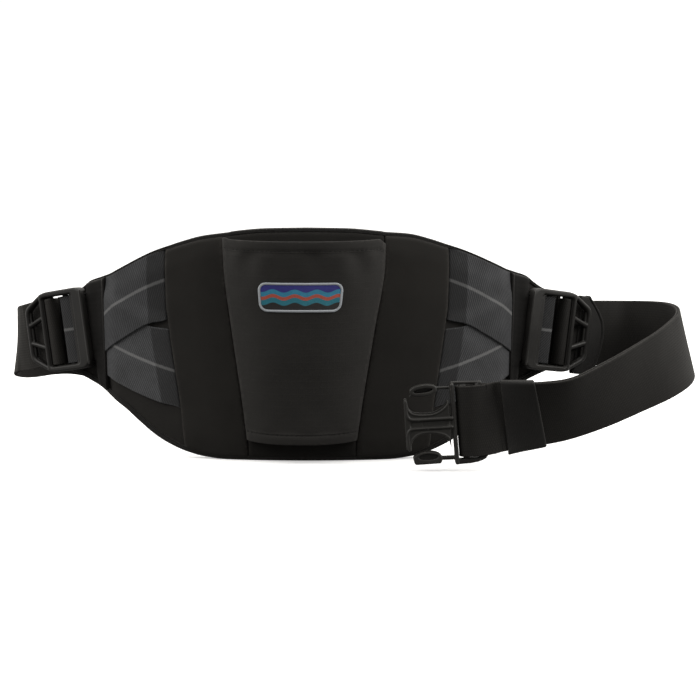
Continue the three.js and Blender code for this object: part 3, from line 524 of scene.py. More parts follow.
class Look:
    """A node material, put together from small steps."""

    def __init__(self, name, rough=0.8, specular=0.3, sheen=0.0, sheen_rough=0.5, sheen_tint=(1, 1, 1)):
        self.m = bpy.data.materials.new(name)
        self.m.use_nodes = True
        self.t = self.m.node_tree
        self.b = next(n for n in self.t.nodes if n.type == "BSDF_PRINCIPLED")
        self.b.inputs["Roughness"].default_value = rough
        self.b.inputs["Specular IOR Level"].default_value = specular
        self.b.inputs["Sheen Weight"].default_value = sheen
        self.b.inputs["Sheen Roughness"].default_value = sheen_rough
        self.b.inputs["Sheen Tint"].default_value = (*sheen_tint, 1)

    def node(self, kind, **props):
        n = self.t.nodes.new(kind)
        for k, v in props.items():
            setattr(n, k, v)
        return n

    def put(self, socket, value):
        if isinstance(value, bpy.types.NodeSocket):
            self.t.links.new(value, socket)
        elif isinstance(value, tuple) and len(value) == 3 and socket.type == "RGBA":
            socket.default_value = (*value, 1)
        else:
            socket.default_value = value

    def math(self, op, a, b=None, c=None, clamp=False):
        n = self.node("ShaderNodeMath", operation=op, use_clamp=clamp)
        for i, x in enumerate((a, b, c)):
            if x is not None:
                self.put(n.inputs[i], x)
        return n.outputs[0]

    def add(self, a, b):
        return self.math("ADD", a, b)

    def mul(self, a, b):
        return self.math("MULTIPLY", a, b)

    def weave(self):
        """Along and across the cloth, in millimetres."""
        uv = self.node("ShaderNodeUVMap", uv_map="Weave")
        sep = self.node("ShaderNodeSeparateXYZ")
        self.put(sep.inputs[0], uv.outputs[0])
        return self.mul(sep.outputs[0], 100.0), self.mul(sep.outputs[1], 100.0)

    def attribute(self, name):
        return self.node("ShaderNodeAttribute", attribute_name=name).outputs["Fac"]

    def spot(self):
        return self.node("ShaderNodeTexCoord").outputs["Object"]

    def noise(self, per_mm, detail=3.0, rough=0.5, stretch=None):
        n = self.node("ShaderNodeTexNoise")
        n.inputs["Scale"].default_value = per_mm * 1000
        n.inputs["Detail"].default_value = detail
        n.inputs["Roughness"].default_value = rough
        where = self.spot()
        if stretch:
            m = self.node("ShaderNodeMapping")
            m.inputs["Scale"].default_value = stretch
            self.put(m.inputs["Vector"], where)
            where = m.outputs[0]
        self.put(n.inputs["Vector"], where)
        return n.outputs["Fac"]

    def span(self, x, a, b, to0=0.0, to1=1.0, smooth=False):
        n = self.node("ShaderNodeMapRange", interpolation_type="SMOOTHSTEP" if smooth else "LINEAR")
        self.put(n.inputs["Value"], x)
        for k, v in (("From Min", a), ("From Max", b), ("To Min", to0), ("To Max", to1)):
            self.put(n.inputs[k], v)
        return n.outputs["Result"]

    def blend(self, fac, a, b, how="MIX"):
        n = self.node("ShaderNodeMix", data_type="RGBA", blend_type=how)
        self.put(n.inputs["Factor"], fac)
        self.put(n.inputs["A"] if n.inputs["A"].type == "RGBA" else n.inputs[6], a)
        self.put(n.inputs["B"] if n.inputs["B"].type == "RGBA" else n.inputs[7], b)
        return n.outputs[2]

    def wave(self, x, pitch, shift=0.0):
        """From 0 to 1 and back over each pitch."""
        turns = self.math("MULTIPLY_ADD", x, 2 * math.pi / pitch, shift)
        return self.math("MULTIPLY_ADD", self.math("SINE", turns), 0.5, 0.5)

    def bump(self, height, mm, strength=1.0, normal=None):
        n = self.node("ShaderNodeBump")
        n.inputs["Strength"].default_value = strength
        n.inputs["Distance"].default_value = mm * 0.001
        self.put(n.inputs["Height"], height)
        if normal is not None:
            self.put(n.inputs["Normal"], normal)
        return n.outputs[0]

    def done(self, colour=None, rough=None, normal=None):
        for key, value in (("Base Color", colour), ("Roughness", rough), ("Normal", normal)):
            if value is not None:
                self.put(self.b.inputs[key], value)
        return self.m


def cloth_look(name, dark, light, pitch, rough=0.9, sheen=0.05, ribs=None, weave_mm=0.08, specular=0.2, blotch=0.35):
    """Plain-woven cloth: dark and light colour of the yarn, pitch in mm, and ripstop ribs."""
    k = Look(name, rough, specular, sheen, 0.45, (1, 0.97, 0.93))
    u, v = k.weave()
    wobble = k.noise(0.02, 3.0)
    cross = k.mul(k.wave(u, pitch), k.wave(v, pitch, 1.57))
    height = k.add(k.mul(cross, 1.0), k.mul(k.noise(1.6, 2.0), 0.5))
    yarn = k.span(cross, 0.0, 1.0, 0.15, 0.85)
    tone = k.add(k.mul(yarn, 1 - blotch), k.mul(k.span(wobble, 0.3, 0.7), blotch))
    if ribs:
        line_v = k.math("POWER", k.wave(v, ribs[0]), 14.0)
        line_u = k.math("POWER", k.wave(u, ribs[1]), 18.0)
        lines = k.math("MAXIMUM", line_v, k.mul(line_u, 0.35))
        height = k.add(height, k.mul(lines, 0.6))
        tone = k.add(tone, k.mul(lines, ribs[2]))
    fuzz = k.span(k.noise(4.0, 2.0), 0.35, 0.8, -0.08, 0.12)
    tone = k.add(tone, fuzz)
    colour = k.blend(k.math("ADD", tone, 0.0, clamp=True), dark, light)
    # paler towards the rims: partly edge wear, partly painted highlight
    wear_and_rim_highlight = k.mul(k.attribute("rim"), k.span(k.noise(0.35, 4.0), 0.4, 0.75))
    colour = k.blend(k.mul(wear_and_rim_highlight, 0.5), colour, tuple(min(1, c * 2.2) for c in light))
    normal = k.bump(height, weave_mm, 0.9)
    normal = k.bump(k.noise(0.045, 3.0), 0.5, 0.35, normal)
    return k.done(colour, k.span(yarn, 0, 1, rough - 0.06, min(1, rough + 0.08)), normal)


def twill_look(name, dark, light, stripe, middle=25.0, diag=1.0):
    """Charcoal webbing with a diagonal twill and one soft light stripe along it."""
    k = Look(name, 0.82, 0.25, 0.06, 0.4, (0.93, 0.96, 1.0))
    u, v = k.weave()
    lines = k.wave(k.math("MULTIPLY_ADD", v, diag * 0.95, u), 2.1)
    ends = k.wave(v, 0.62)
    picks = k.wave(u, 0.7)
    shade = k.attribute("shade")
    height = k.add(k.mul(lines, k.span(shade, 0, 1, 1.0, 0.35)), k.mul(k.mul(ends, picks), 0.8))
    tone = k.span(k.mul(lines, k.add(k.mul(ends, 0.4), 0.6)), 0.0, 1.0, 0.2, 0.85)
    tone = k.add(tone, k.span(k.noise(0.05, 3.0), 0.3, 0.7, -0.14, 0.14))
    tone = k.add(tone, k.span(k.noise(2.2, 2.0), 0.3, 0.75, -0.1, 0.12))
    # the shade attribute darkens the twill, flattens its lines and dims the stripe: partly painted shade of a crease,
    # partly a darker, smoother finish
    tone = k.math("SUBTRACT", tone, k.mul(shade, 0.62))
    colour = k.blend(k.math("ADD", tone, 0.0, clamp=True), dark, light)
    off = k.math("ABSOLUTE", k.math("SUBTRACT", k.add(v, k.span(k.noise(0.5, 2.0), 0, 1, -0.35, 0.35)), middle))
    band = k.span(off, 0.45, 1.6, 0.9, 0.0, smooth=True)
    band = k.mul(band, k.add(k.mul(picks, 0.35), 0.65))
    colour = k.blend(k.mul(band, k.span(shade, 0, 1, 0.95, 0.6)), colour, stripe)
    # paler towards the rims: partly edge wear, partly painted highlight
    wear_and_rim_highlight = k.mul(k.attribute("rim"), k.span(k.noise(0.5, 4.0), 0.35, 0.7))
    colour = k.blend(k.mul(wear_and_rim_highlight, 0.35), colour, tuple(min(1, c * 1.7) for c in light))
    normal = k.bump(height, 0.16, 0.9)
    return k.done(colour, k.span(lines, 0, 1, 0.9, 0.74), normal)


def webbing_look(name, dark, light, rough=0.72, pitch=1.35, column=1.9, specular=0.35, sheen=0.04):
    """Heavy black webbing: short cross ribs in staggered columns, cords at the edges."""
    k = Look(name, rough, specular, sheen, 0.4, (1, 0.97, 0.92))
    u, v = k.weave()
    col = k.math("FLOOR", k.math("DIVIDE", v, column))
    half = k.math("MULTIPLY", k.math("PINGPONG", col, 1.0), math.pi)
    ribs = k.wave(u, pitch, half)
    part = k.math("SINE", k.mul(k.math("FRACT", k.math("DIVIDE", v, column)), math.pi))
    pattern = k.mul(ribs, k.math("POWER", k.math("MAXIMUM", part, 0.001), 0.5))
    fine = k.wave(k.add(u, v), 0.48)
    height = k.add(pattern, k.mul(fine, 0.18))
    tone = k.add(k.span(pattern, 0, 1, 0.25, 0.65), k.span(k.noise(0.04, 3.0), 0.3, 0.7, -0.12, 0.16))
    tone = k.add(tone, k.span(k.noise(3.0, 2.0), 0.35, 0.75, -0.08, 0.12))
    colour = k.blend(k.math("ADD", tone, 0.0, clamp=True), dark, light)
    # paler towards the selvedges: partly edge wear, partly painted highlight
    wear_and_rim_highlight = k.mul(k.attribute("rim"), k.span(k.noise(0.6, 4.0), 0.35, 0.7))
    colour = k.blend(k.mul(wear_and_rim_highlight, 0.45), colour, tuple(min(1, c * 2.4) for c in light))
    normal = k.bump(height, 0.09, 0.7)
    return k.done(colour, k.span(pattern, 0, 1, rough + 0.1, rough - 0.04), normal)


def tape_look(name, dark, light):
    """Grosgrain tape: fine ribs across its length."""
    k = Look(name, 0.85, 0.25, 0.05, 0.4, (1, 0.97, 0.93))
    u, v = k.weave()
    ribs = k.wave(u, 0.9)
    tone = k.add(k.span(ribs, 0, 1, 0.15, 0.8), k.span(k.noise(0.05, 3.0), 0.3, 0.7, -0.15, 0.2))
    tone = k.add(tone, k.span(k.noise(3.5, 2.0), 0.3, 0.8, -0.1, 0.12))
    colour = k.blend(k.math("ADD", tone, 0.0, clamp=True), dark, light)
    # paler towards the rims: partly edge wear, partly painted highlight
    wear_and_rim_highlight = k.mul(k.attribute("rim"), k.span(k.noise(0.4, 4.0), 0.4, 0.75))
    colour = k.blend(k.mul(wear_and_rim_highlight, 0.4), colour, tuple(min(1, c * 2.2) for c in light))
    normal = k.bump(k.add(ribs, k.mul(k.wave(v, 0.5), 0.3)), 0.12, 0.8)
    return k.done(colour, k.span(ribs, 0, 1, 0.92, 0.78), normal)


def plastic_look(name, dark, light):
    """Moulded black acetal: fine spark grain, paler edges that are partly rubbed wear and partly painted highlight,
    soft handling marks.
    """
    k = Look(name, 0.45, 0.3)
    k.b.inputs["IOR"].default_value = 1.48
    grain = k.noise(2.6, 4.0, 0.65)
    cloud = k.noise(0.06, 3.0)
    marks = k.noise(0.35, 5.0, 0.7, (1.0, 1.0, 4.0))
    point = k.node("ShaderNodeNewGeometry").outputs["Pointiness"]
    edge = k.span(point, 0.52, 0.6, 0.0, 1.0, smooth=True)
    edge = k.mul(edge, k.span(k.noise(0.5, 3.0), 0.3, 0.65, 0.35, 1.0))
    colour = k.blend(k.span(cloud, 0.3, 0.7), dark, light)
    # paler where the surface is sharp: partly rubbed wear, partly painted highlight along the rims
    colour = k.blend(k.mul(edge, 0.5), colour, tuple(min(1, c * 3.2) for c in light))
    rough = k.add(k.span(marks, 0.35, 0.7, 0.40, 0.52), k.mul(edge, -0.05))
    normal = k.bump(grain, 0.035, 0.5)
    return k.done(colour, rough, normal)


def thread_look(name, dark, light):
    """Twisted polyester thread."""
    k = Look(name, 0.7, 0.22, 0.01)
    u, v = k.weave()
    ply = k.wave(k.math("MULTIPLY_ADD", v, 0.16, u), 0.5)
    colour = k.blend(k.add(k.mul(ply, 0.6), k.mul(k.noise(0.3, 2.0), 0.4)), dark, light)
    return k.done(colour, k.span(ply, 0, 1, 0.8, 0.62), k.bump(ply, 0.05, 0.8))


PANEL = cloth_look("panel_cloth", (0.0107, 0.0099, 0.0089), (0.0252, 0.0235, 0.0213), 0.62, 0.92, 0.04)
# darker copy of the panel cloth for the centre panel: painted shade cast by the sleeve
MIDDLE_PAINTED_SHADE = cloth_look("middle_cloth_painted_shade", (0.0064, 0.0060, 0.0053), (0.0151, 0.0141, 0.0128), 0.62, 0.92, 0.02)
LINING = cloth_look("wing_cloth", (0.0110, 0.0104, 0.0096), (0.0275, 0.0260, 0.0242), 0.9, 0.93, 0.035, weave_mm=0.12)
SLEEVE_LOOK = cloth_look(
    "sleeve_cloth", (0.0118, 0.0111, 0.0102), (0.0255, 0.0242, 0.0226), 0.55, 0.82, 0.04, (4.6, 4.6, 0.07), 0.06, 0.26
)
TAPE = tape_look("binding_tape", (0.0055, 0.0052, 0.0049), (0.0165, 0.0157, 0.0148))
TWILL_UP = twill_look("wing_webbing_a", (0.0200, 0.0204, 0.0214), (0.078, 0.0800, 0.0850), (0.180, 0.181, 0.182), 25.0, 1.0)
TWILL_LOW = twill_look("wing_webbing_b", (0.0270, 0.0274, 0.0286), (0.103, 0.1056, 0.1116), (0.214, 0.215, 0.216), 25.0, -1.0)
# darker copy of the wing webbing for the right anchor loop: painted shade inside the buckle
ANCHOR_PAINTED_SHADE_RIGHT = twill_look("anchor_webbing_b", (0.0160, 0.0163, 0.0171), (0.0610, 0.0626, 0.0662), (0.185, 0.186, 0.187), 25.0, -1.0)
STRAP = webbing_look("belt_webbing", (0.0062, 0.0058, 0.0052), (0.0169, 0.0158, 0.0142), 0.74, specular=0.24, sheen=0.015)
# lighter copy of the same belt webbing for the left strap: painted light from the side
STRAP_PAINTED_LIGHT_LEFT = webbing_look("belt_webbing_left_painted_light", (0.0112, 0.0105, 0.0096), (0.0305, 0.0286, 0.0260), 0.74, specular=0.24, sheen=0.015)
KEEPER = webbing_look("keeper_webbing", (0.0052, 0.0049, 0.0046), (0.0175, 0.0167, 0.0157), 0.78, 0.95, 1.1)
PLASTIC = plastic_look("moulded_plastic", (0.0135, 0.0130, 0.0121), (0.0205, 0.0198, 0.0185))
# darker copy of the same plastic for the left buckle: painted shade
PLASTIC_PAINTED_SHADE_LEFT = plastic_look("moulded_plastic_left_painted_shade", (0.0088, 0.0084, 0.0078), (0.0136, 0.0131, 0.0122))
# lighter copy of the same plastic for the clasp: painted light
PLASTIC_PAINTED_LIGHT_CLASP = plastic_look("moulded_plastic_clasp_painted_light", (0.0168, 0.0162, 0.0151), (0.0255, 0.0246, 0.0230))
THREAD = thread_look("black_thread", (0.0035, 0.0034, 0.0032), (0.0105, 0.0100, 0.0095))

# ------------------------------------------------------------------ the padding

sections = np.linspace(0, 1, 189)
section_s = -TIP * np.cos(np.pi * sections) * 0.35 + mix(-TIP, TIP, sections) * 0.65


def pad_body():
    s1 = np.clip(section_s, -TIP + 1.6, TIP - 1.6)
    a, b = spread(44)
    s = s1[:, None] + 0 * a[None]
    z0, z1 = low(s) + 1.6 * steep(low, s), high(s) - 1.6 * steep(high, s)
    z = z0 + a + b * (z1 - z0)
    d = inward(s, z)
    tip = round_edge(TIP - np.abs(s) - 1.4, 2.5)
    side = round_edge(np.minimum(z - z0, z1 - z), 2.2) * np.maximum(tip, 0.3)
    mid = (front(s, z) + back(s, z)) / 2
    p = np.stack([s, z], -1)
    soft = 0.16 * wander(p, 3, 26) + 0.05 * wander(p, 4, 7)
    # the wearer's side is quilted by two shallow channels that follow the outline
    channel = -0.9 * bell(d - 27, 1.8) * step(0, 12, 140 - np.abs(s)) * step(0.2, 0.6, side)
    f = mid + (front(s, z) - mid) * side + soft * step(3, 12, d) * 0.5
    k = mid + (back(s, z) - mid) * side - (0.9 * step(4, 30, d) * step(0, 60, 175 - np.abs(s)) + channel) * side
    k = k + soft * step(3, 12, d)
    rim = 1 - step(0, 6, d)
    ob = shell("pad_body", place(s, z, f), place(s, z, k), p, LINING, attrs=dict(rim=rim), slot="panel_cloth", replaces=("back_pad",))
    # sewn line in the channel of the wearer's side
    ss = np.linspace(-128, 128, 300)
    lines = []
    for edge, sign in ((low, 1), (high, -1)):
        zz = edge(ss) + sign * 27 * steep(edge, ss)
        nn = back(ss, zz) + 0.0
        path = place(ss, zz, nn - 0.15)
        out = unit(place(ss, zz, nn - 1) - place(ss, zz, nn))
        lines.append(stitch_data(path, out, 2.8, 1.0, 0.5, 0.3))
    pts, q, uv = joined(lines)
    make("quilting_thread", pts, q, THREAD, uv, slot="panel_cloth")


pad_body()


RAISE, RAISE_FROM, RAISE_TO = 0.35, -53.0, 54.4


def binding():
    half = len(section_s)
    s = np.concatenate([section_s, section_s[::-1]])
    z = np.concatenate([low(section_s), high(section_s[::-1])])
    lap = np.concatenate([tape_low(section_s), tape_top(section_s[::-1])])
    # the middle panel's tape sits a little higher, with a sharp step at both ends
    upper = np.arange(2 * half) >= half
    proud = RAISE * upper * step(-0.5, 0.5, s - RAISE_FROM) * (1 - step(-0.5, 0.5, s - RAISE_TO))
    p = np.stack([s, z + proud], -1)
    e0 = unit(p - np.roll(p, 1, 0))
    e1 = unit(np.roll(p, -1, 0) - p)
    d = unit(np.stack([-(e0 + e1)[:, 1], (e0 + e1)[:, 0]], -1))
    stretch = np.minimum(1.5, 1 / np.maximum(0.3, d[:, 0] * -e1[:, 1] + d[:, 1] * e1[:, 0]))
    run = np.concatenate([[0], np.cumsum(np.linalg.norm(np.diff(p, axis=0), axis=1))])
    total = run[-1] + np.linalg.norm(p[0] - p[-1])

    def point(inn, n):
        q = p + d * (inn * stretch)[:, None]
        return place(q[:, 0], q[:, 1], n)

    deep = p + d * (3.0 * stretch)[:, None]
    deep[:, 0] = np.clip(deep[:, 0], -TIP + 1, TIP - 1)
    fn, bn = front(deep[:, 0], deep[:, 1]) + 0.15 + 0.5 * proud, back(deep[:, 0], deep[:, 1]) - 0.15
    # along the top of the centre the tape's lap lies flush, and its seam is out of sight
    plain = upper * (1 - step(96, 100, np.abs(s)))
    dent = 1 - 0.9 * plain
    m, h = (fn + bn) / 2, (fn - bn) / 2 + 0.95
    soft = 0.1 * np.sin(run * 0.9) * np.sin(run * 0.13) + 0.08 * wander(p, 8, 9)
    # outside of the folded tape: two laps with a sewn channel, and a round fold
    ring, across = [], []

    def lay(inn, n, w):
        ring.append(point(inn, n))
        across.append(w)

    lay(lap, fn + 0.0, 0)
    lay(lap, fn + 0.6, 0.6)
    lay(lap - 0.35, fn + 0.95 + soft, 1.0)
    lay(lap - 0.75, fn + 0.95 - 0.1 * dent + soft, 1.4)
    lay(lap - 1.15, fn + 0.95 - 0.55 * dent + soft * (1 - dent), 1.8)
    lay(lap - 1.55, fn + 0.95 - 0.1 * dent + soft, 2.2)
    for k, ang in enumerate(np.linspace(90, -90, 13)):
        c, sn = math.cos(math.radians(ang)), math.sin(math.radians(ang))
        reach = np.minimum(lap - 1.9, 2.6)
        lay(reach * (1 - c**0.8 if c > 0 else 1.0) + 0 * lap, m + (h + soft * 0.5) * math.copysign(abs(sn) ** 0.75, sn), 2.6 + k * 0.9)
    lay(lap - 1.55, bn - 0.85 - soft, 14.6)
    lay(lap - 1.15, bn - 0.55, 15.0)
    lay(lap - 0.75, bn - 0.85 - soft, 15.4)
    lay(lap - 0.35, bn - 0.95 - soft, 15.8)
    lay(lap, bn - 0.6, 16.2)
    lay(lap, bn - 0.0, 16.8)
    ring = np.stack(ring, 1)
    m_ = ring.shape[1]
    inner = []
    for j in range(m_):
        inn = np.maximum(np.where(j in (0, 1, m_ - 2, m_ - 1), lap - 0.1, lap * 0.5), 0.9)
        t = j / (m_ - 1)
        inner.append(point(inn + 0 * lap, mix(fn - 0.1, bn + 0.1, t)))
    inner = np.stack(inner, 1)
    along = np.concatenate([run, [total]])
    # paler on the laps and the fold, least in the sewn channel: partly wear, partly painted highlight
    wear_and_rim_highlight = np.interp(np.array(across), (0, 1.2, 2.0, 3.6, 8.0, 12.6, 17), (0.9, 0.7, 0.1, 0.6, 0.9, 0.6, 0.6))
    uv = np.stack(np.broadcast_arrays(along[:, None], np.array(across)[None]), -1)
    shell("binding_tape", ring, inner, uv, TAPE, ring=True, attrs=dict(rim=wear_and_rim_highlight[None]), slot="binding_tape", replaces=("edge_binding",))
    # the seam that holds it, on both faces
    lines = []
    for sign, face in ((1, fn), (-1, bn)):
        keep = (np.abs(s) < TIP - 3) & ((plain < 0.5) | (sign < 0))
        path = point(lap - 1.15, face + sign * 0.5)
        up = unit(point(lap - 1.15, face + sign * 2) - point(lap - 1.15, face))
        for part in (slice(0, half), slice(half, 2 * half)):
            k = keep[part]
            cut = np.flatnonzero(np.diff(k.astype(int))) + 1
            for run_ in np.split(np.arange(len(k)), cut):
                if k[run_[0]] and len(run_) > 3:
                    lines.append(stitch_data(path[part][run_], up[part][run_], 2.3, 1.1, 0.36, 0.2, 0.14))
    pts, q, uv = joined(lines)
    make("binding_thread", pts, q, THREAD, uv, slot="binding_tape")


binding()

# ------------------------------------------------------------ centre panel cloth


def panel(name, left, right, nu, thick, crown, seed):
    a, b = (q[:, None] for q in spread(nu))
    c, e = (q[None] for q in spread(70))
    z = np.broadcast_to(np.linspace(0, 167, c.shape[1])[None], (a.shape[0], c.shape[1]))
    for _ in range(9):
        x0, x1 = left(z), right(z)
        s = x0 + a + b * (x1 - x0)
        z0, z1 = face_low(s), face_high(s)
        z = z0 + c + e * (z1 - z0)
    du = np.minimum(s - x0, x1 - s)
    dv = np.minimum(z - z0, z1 - z)
    p = np.stack([s, z], -1)
    body = round_edge(du, 3.0) * round_edge(dv, 3.2)
    swell = crown * step(0, 26, du) * step(0, 30, dv)
    soft = (0.13 * wander(p, seed, 22) + 0.05 * wander(p, seed + 1, 8)) * step(1, 9, np.minimum(du, dv))
    # the seams draw small dimples into the foam
    dimple = -0.14 * bell(du - 2.6, 1.6) * (0.5 + 0.5 * np.sin(z * 1.5 + seed)) - 0.12 * bell(dv - 2.6, 1.5) * (0.5 + 0.5 * np.sin(s * 1.6))
    base = front(s, z) + GAP
    f = base + 0.25 + (thick - 0.25) * body + swell + soft + dimple
    rim = (1 - step(0.4, 3.2, du)) * 0.8 + (1 - step(0.4, 3.2, dv)) * 0.3
    # the centre panel takes the darker copy of the cloth, a painted shade of the sleeve over it
    ob = shell(name, place(s, z, f), place(s, z, base), p, MIDDLE_PAINTED_SHADE if name == "cloth_middle" else PANEL, attrs=dict(rim=np.clip(rim, 0, 1)), slot="panel_cloth", replaces=(name.replace("cloth", "panel"),))
    return ob


panel("cloth_left", lambda z: -seam(z) + 0.25, lambda z: sleeve_edge(z, -1) - 0.25, 24, FACE_T, 0.5, 11)
panel("cloth_middle", lambda z: sleeve_edge(z, -1) + 0.25, lambda z: sleeve_edge(z, 1) - 0.25, 44, FACE_T - 0.5, 0.25, 21)
panel("cloth_right", lambda z: sleeve_edge(z, 1) + 0.25, lambda z: seam(z) - 0.25, 24, FACE_T, 0.5, 31)

# ---------------------------------------------------------------------- sleeve

HEM = 7.8
SLEEVE_LOW, SLEEVE_HIGH = SLEEVE["z"][0], SLEEVE["z"][-1]
# Soft folds that hang from the upper hem: where, how wide, how deep, how long, lean.
FOLDS = dict(
    t=(-0.82, -0.64, -0.45, -0.06, 0.12, 0.30, 0.46, 0.64, 0.82),
    wide=(4.2, 5.0, 6.5, 6.5, 7.5, 6.5, 5.5, 5.0, 4.2),
    deep=(0.9, -1.5, 0.9, 0.5, -1.0, 0.5, 0.9, -1.5, 0.9),
    long=(30, 34, 28, 22, 28, 22, 30, 34, 28),
    lean=(-0.10, -0.14, -0.10, 0, 0, 0, 0.10, 0.14, 0.12),
)


def sleeve_point(t, z0, off):
    """Place on the sleeve's front: t across from seam to seam, off outwards."""
    arch = np.power(np.clip(1 - np.abs(t) ** 2.6, 0, 1), 0.8)
    half, mid = at(SLEEVE, "z", "half", z0), at(SLEEVE, "z", "mid", z0)
    rise = at(SLEEVE, "z", "bulge", z0) * arch
    below = SLEEVE_HIGH - HEM - z0
    fold = 0
    for i in range(len(FOLDS["t"])):
        c = FOLDS["t"][i] * half + FOLDS["lean"][i] * below
        size = FOLDS["wide"][i] * (1 + np.clip(below, 0, 60) / 45)
        fade = step(-3.0, 4.0, below) * (1 - step(0, FOLDS["long"][i], below)) ** 1.3
        fold = fold + FOLDS["deep"][i] * bell(t * half - c, size) * fade
    up = z0 - SLEEVE_LOW - HEM
    fold = fold + 0.35 * np.sin(t * 9.0 + 0.6) * step(-2, 3, up) * (1 - step(0, 26, up)) * (1 - np.abs(t) ** 6)
    p = np.stack(np.broadcast_arrays(t * half, z0), -1)
    soft = 0.28 * wander(p, 41, 30) + 0.09 * wander(p, 42, 11) + 0.03 * wander(p, 43, 4)
    fold = (fold + soft) * step(0, 0.18, arch)
    s = mid + half * t
    n = SLEEVE_BASE + rise + fold + off
    # upper corners: a small ear on the left, a rounded one on the right
    near = step(HEM * 2.2, 0.5, SLEEVE_HIGH - z0)
    lift = near * (0.9 * bell(t + 0.965, 0.045) - 3.6 * step(0.90, 1.0, t) ** 1.4 - 0.5 * step(0.975, 1.0, -t))
    return place(s * (1 - rise / (BEND_RADIUS + 30)), z0 - SLEEVE_DIP * arch + lift, n)


def sleeve():
    q = np.linspace(-1, 1, 161)
    t = np.sign(q) * (1 - (1 - np.abs(q)) ** 1.55)
    tall = SLEEVE_HIGH - SLEEVE_LOW
    fine = np.array([0, 0.1, 0.3, 0.6, 1.0, 2.0, 3.2, 4.6, 6.0, 6.8, 7.2, 7.5, 7.8, 8.1, 8.4, 8.8, 9.6, 10.8])
    rows = np.concatenate([fine, np.linspace(12.2, tall - 12.2, 84), tall - fine[::-1]]) + SLEEVE_LOW
    tt, zz = np.meshgrid(t, rows, indexing="ij")
    d = np.minimum(zz - SLEEVE_LOW, SLEEVE_HIGH - zz)
    thick = 0.55 + 0.75 * (1 - step(HEM - 0.3, HEM + 0.5, d))
    fold = 0.18 * np.sin(np.clip(d / (HEM - 1.2), 0, 1) * np.pi)
    half = at(SLEEVE, "z", "half", zz)
    pinch = -0.5 * bell(d - HEM + 0.9, 0.6) * (0.75 + 0.25 * np.sin(tt * half * 2 * np.pi / 3.4))
    centre = 0.7 + pinch * 0.5
    lip = round_edge(d, 0.65)
    edge = step(0, 0.05, 1 - np.abs(tt)) * 0.8 + 0.2
    out = centre + (thick / 2 + fold) * mix(0.25, 1, lip) * edge + pinch * 0.6
    inn = centre - thick / 2 * mix(0.25, 1, lip) * edge
    uv = np.stack([tt * half * 1.12, zz], -1)
    rim = (1 - step(0.2, 1.6, d)) * 0.8 + (1 - step(0.8, 3.2, (1 - np.abs(tt)) * half)) * 0.9
    ob = shell("sleeve_cloth", sleeve_point(tt, zz, out), sleeve_point(tt, zz, inn), uv, SLEEVE_LOOK, attrs=dict(rim=np.clip(rim, 0, 1)), slot="sleeve_cloth", replaces=("sleeve_front",))
    mid = sleeve_point(tt, zz, centre)
    widths = np.linalg.norm(np.diff(mid, axis=0), axis=-1).sum(0)
    area = float(np.trapezoid(widths, rows)) if hasattr(np, "trapezoid") else float(np.trapz(widths, rows))
    # lockstitch along both hems
    lines = []
    tl = np.linspace(-0.985, 0.985, 400)
    for z in (SLEEVE_LOW + HEM - 0.9, SLEEVE_HIGH - HEM + 0.9):
        path = sleeve_point(tl, z + 0 * tl, 1.02 + 0 * tl)
        up = unit(sleeve_point(tl, z + 0 * tl, 3.0 + 0 * tl) - path)
        lines.append(stitch_data(path, up, 2.5, 0.9, 0.45, 0.3))
    pts, q, uv = joined(lines)
    make("hem_thread", pts, q, THREAD, uv, slot="sleeve_cloth")


sleeve()


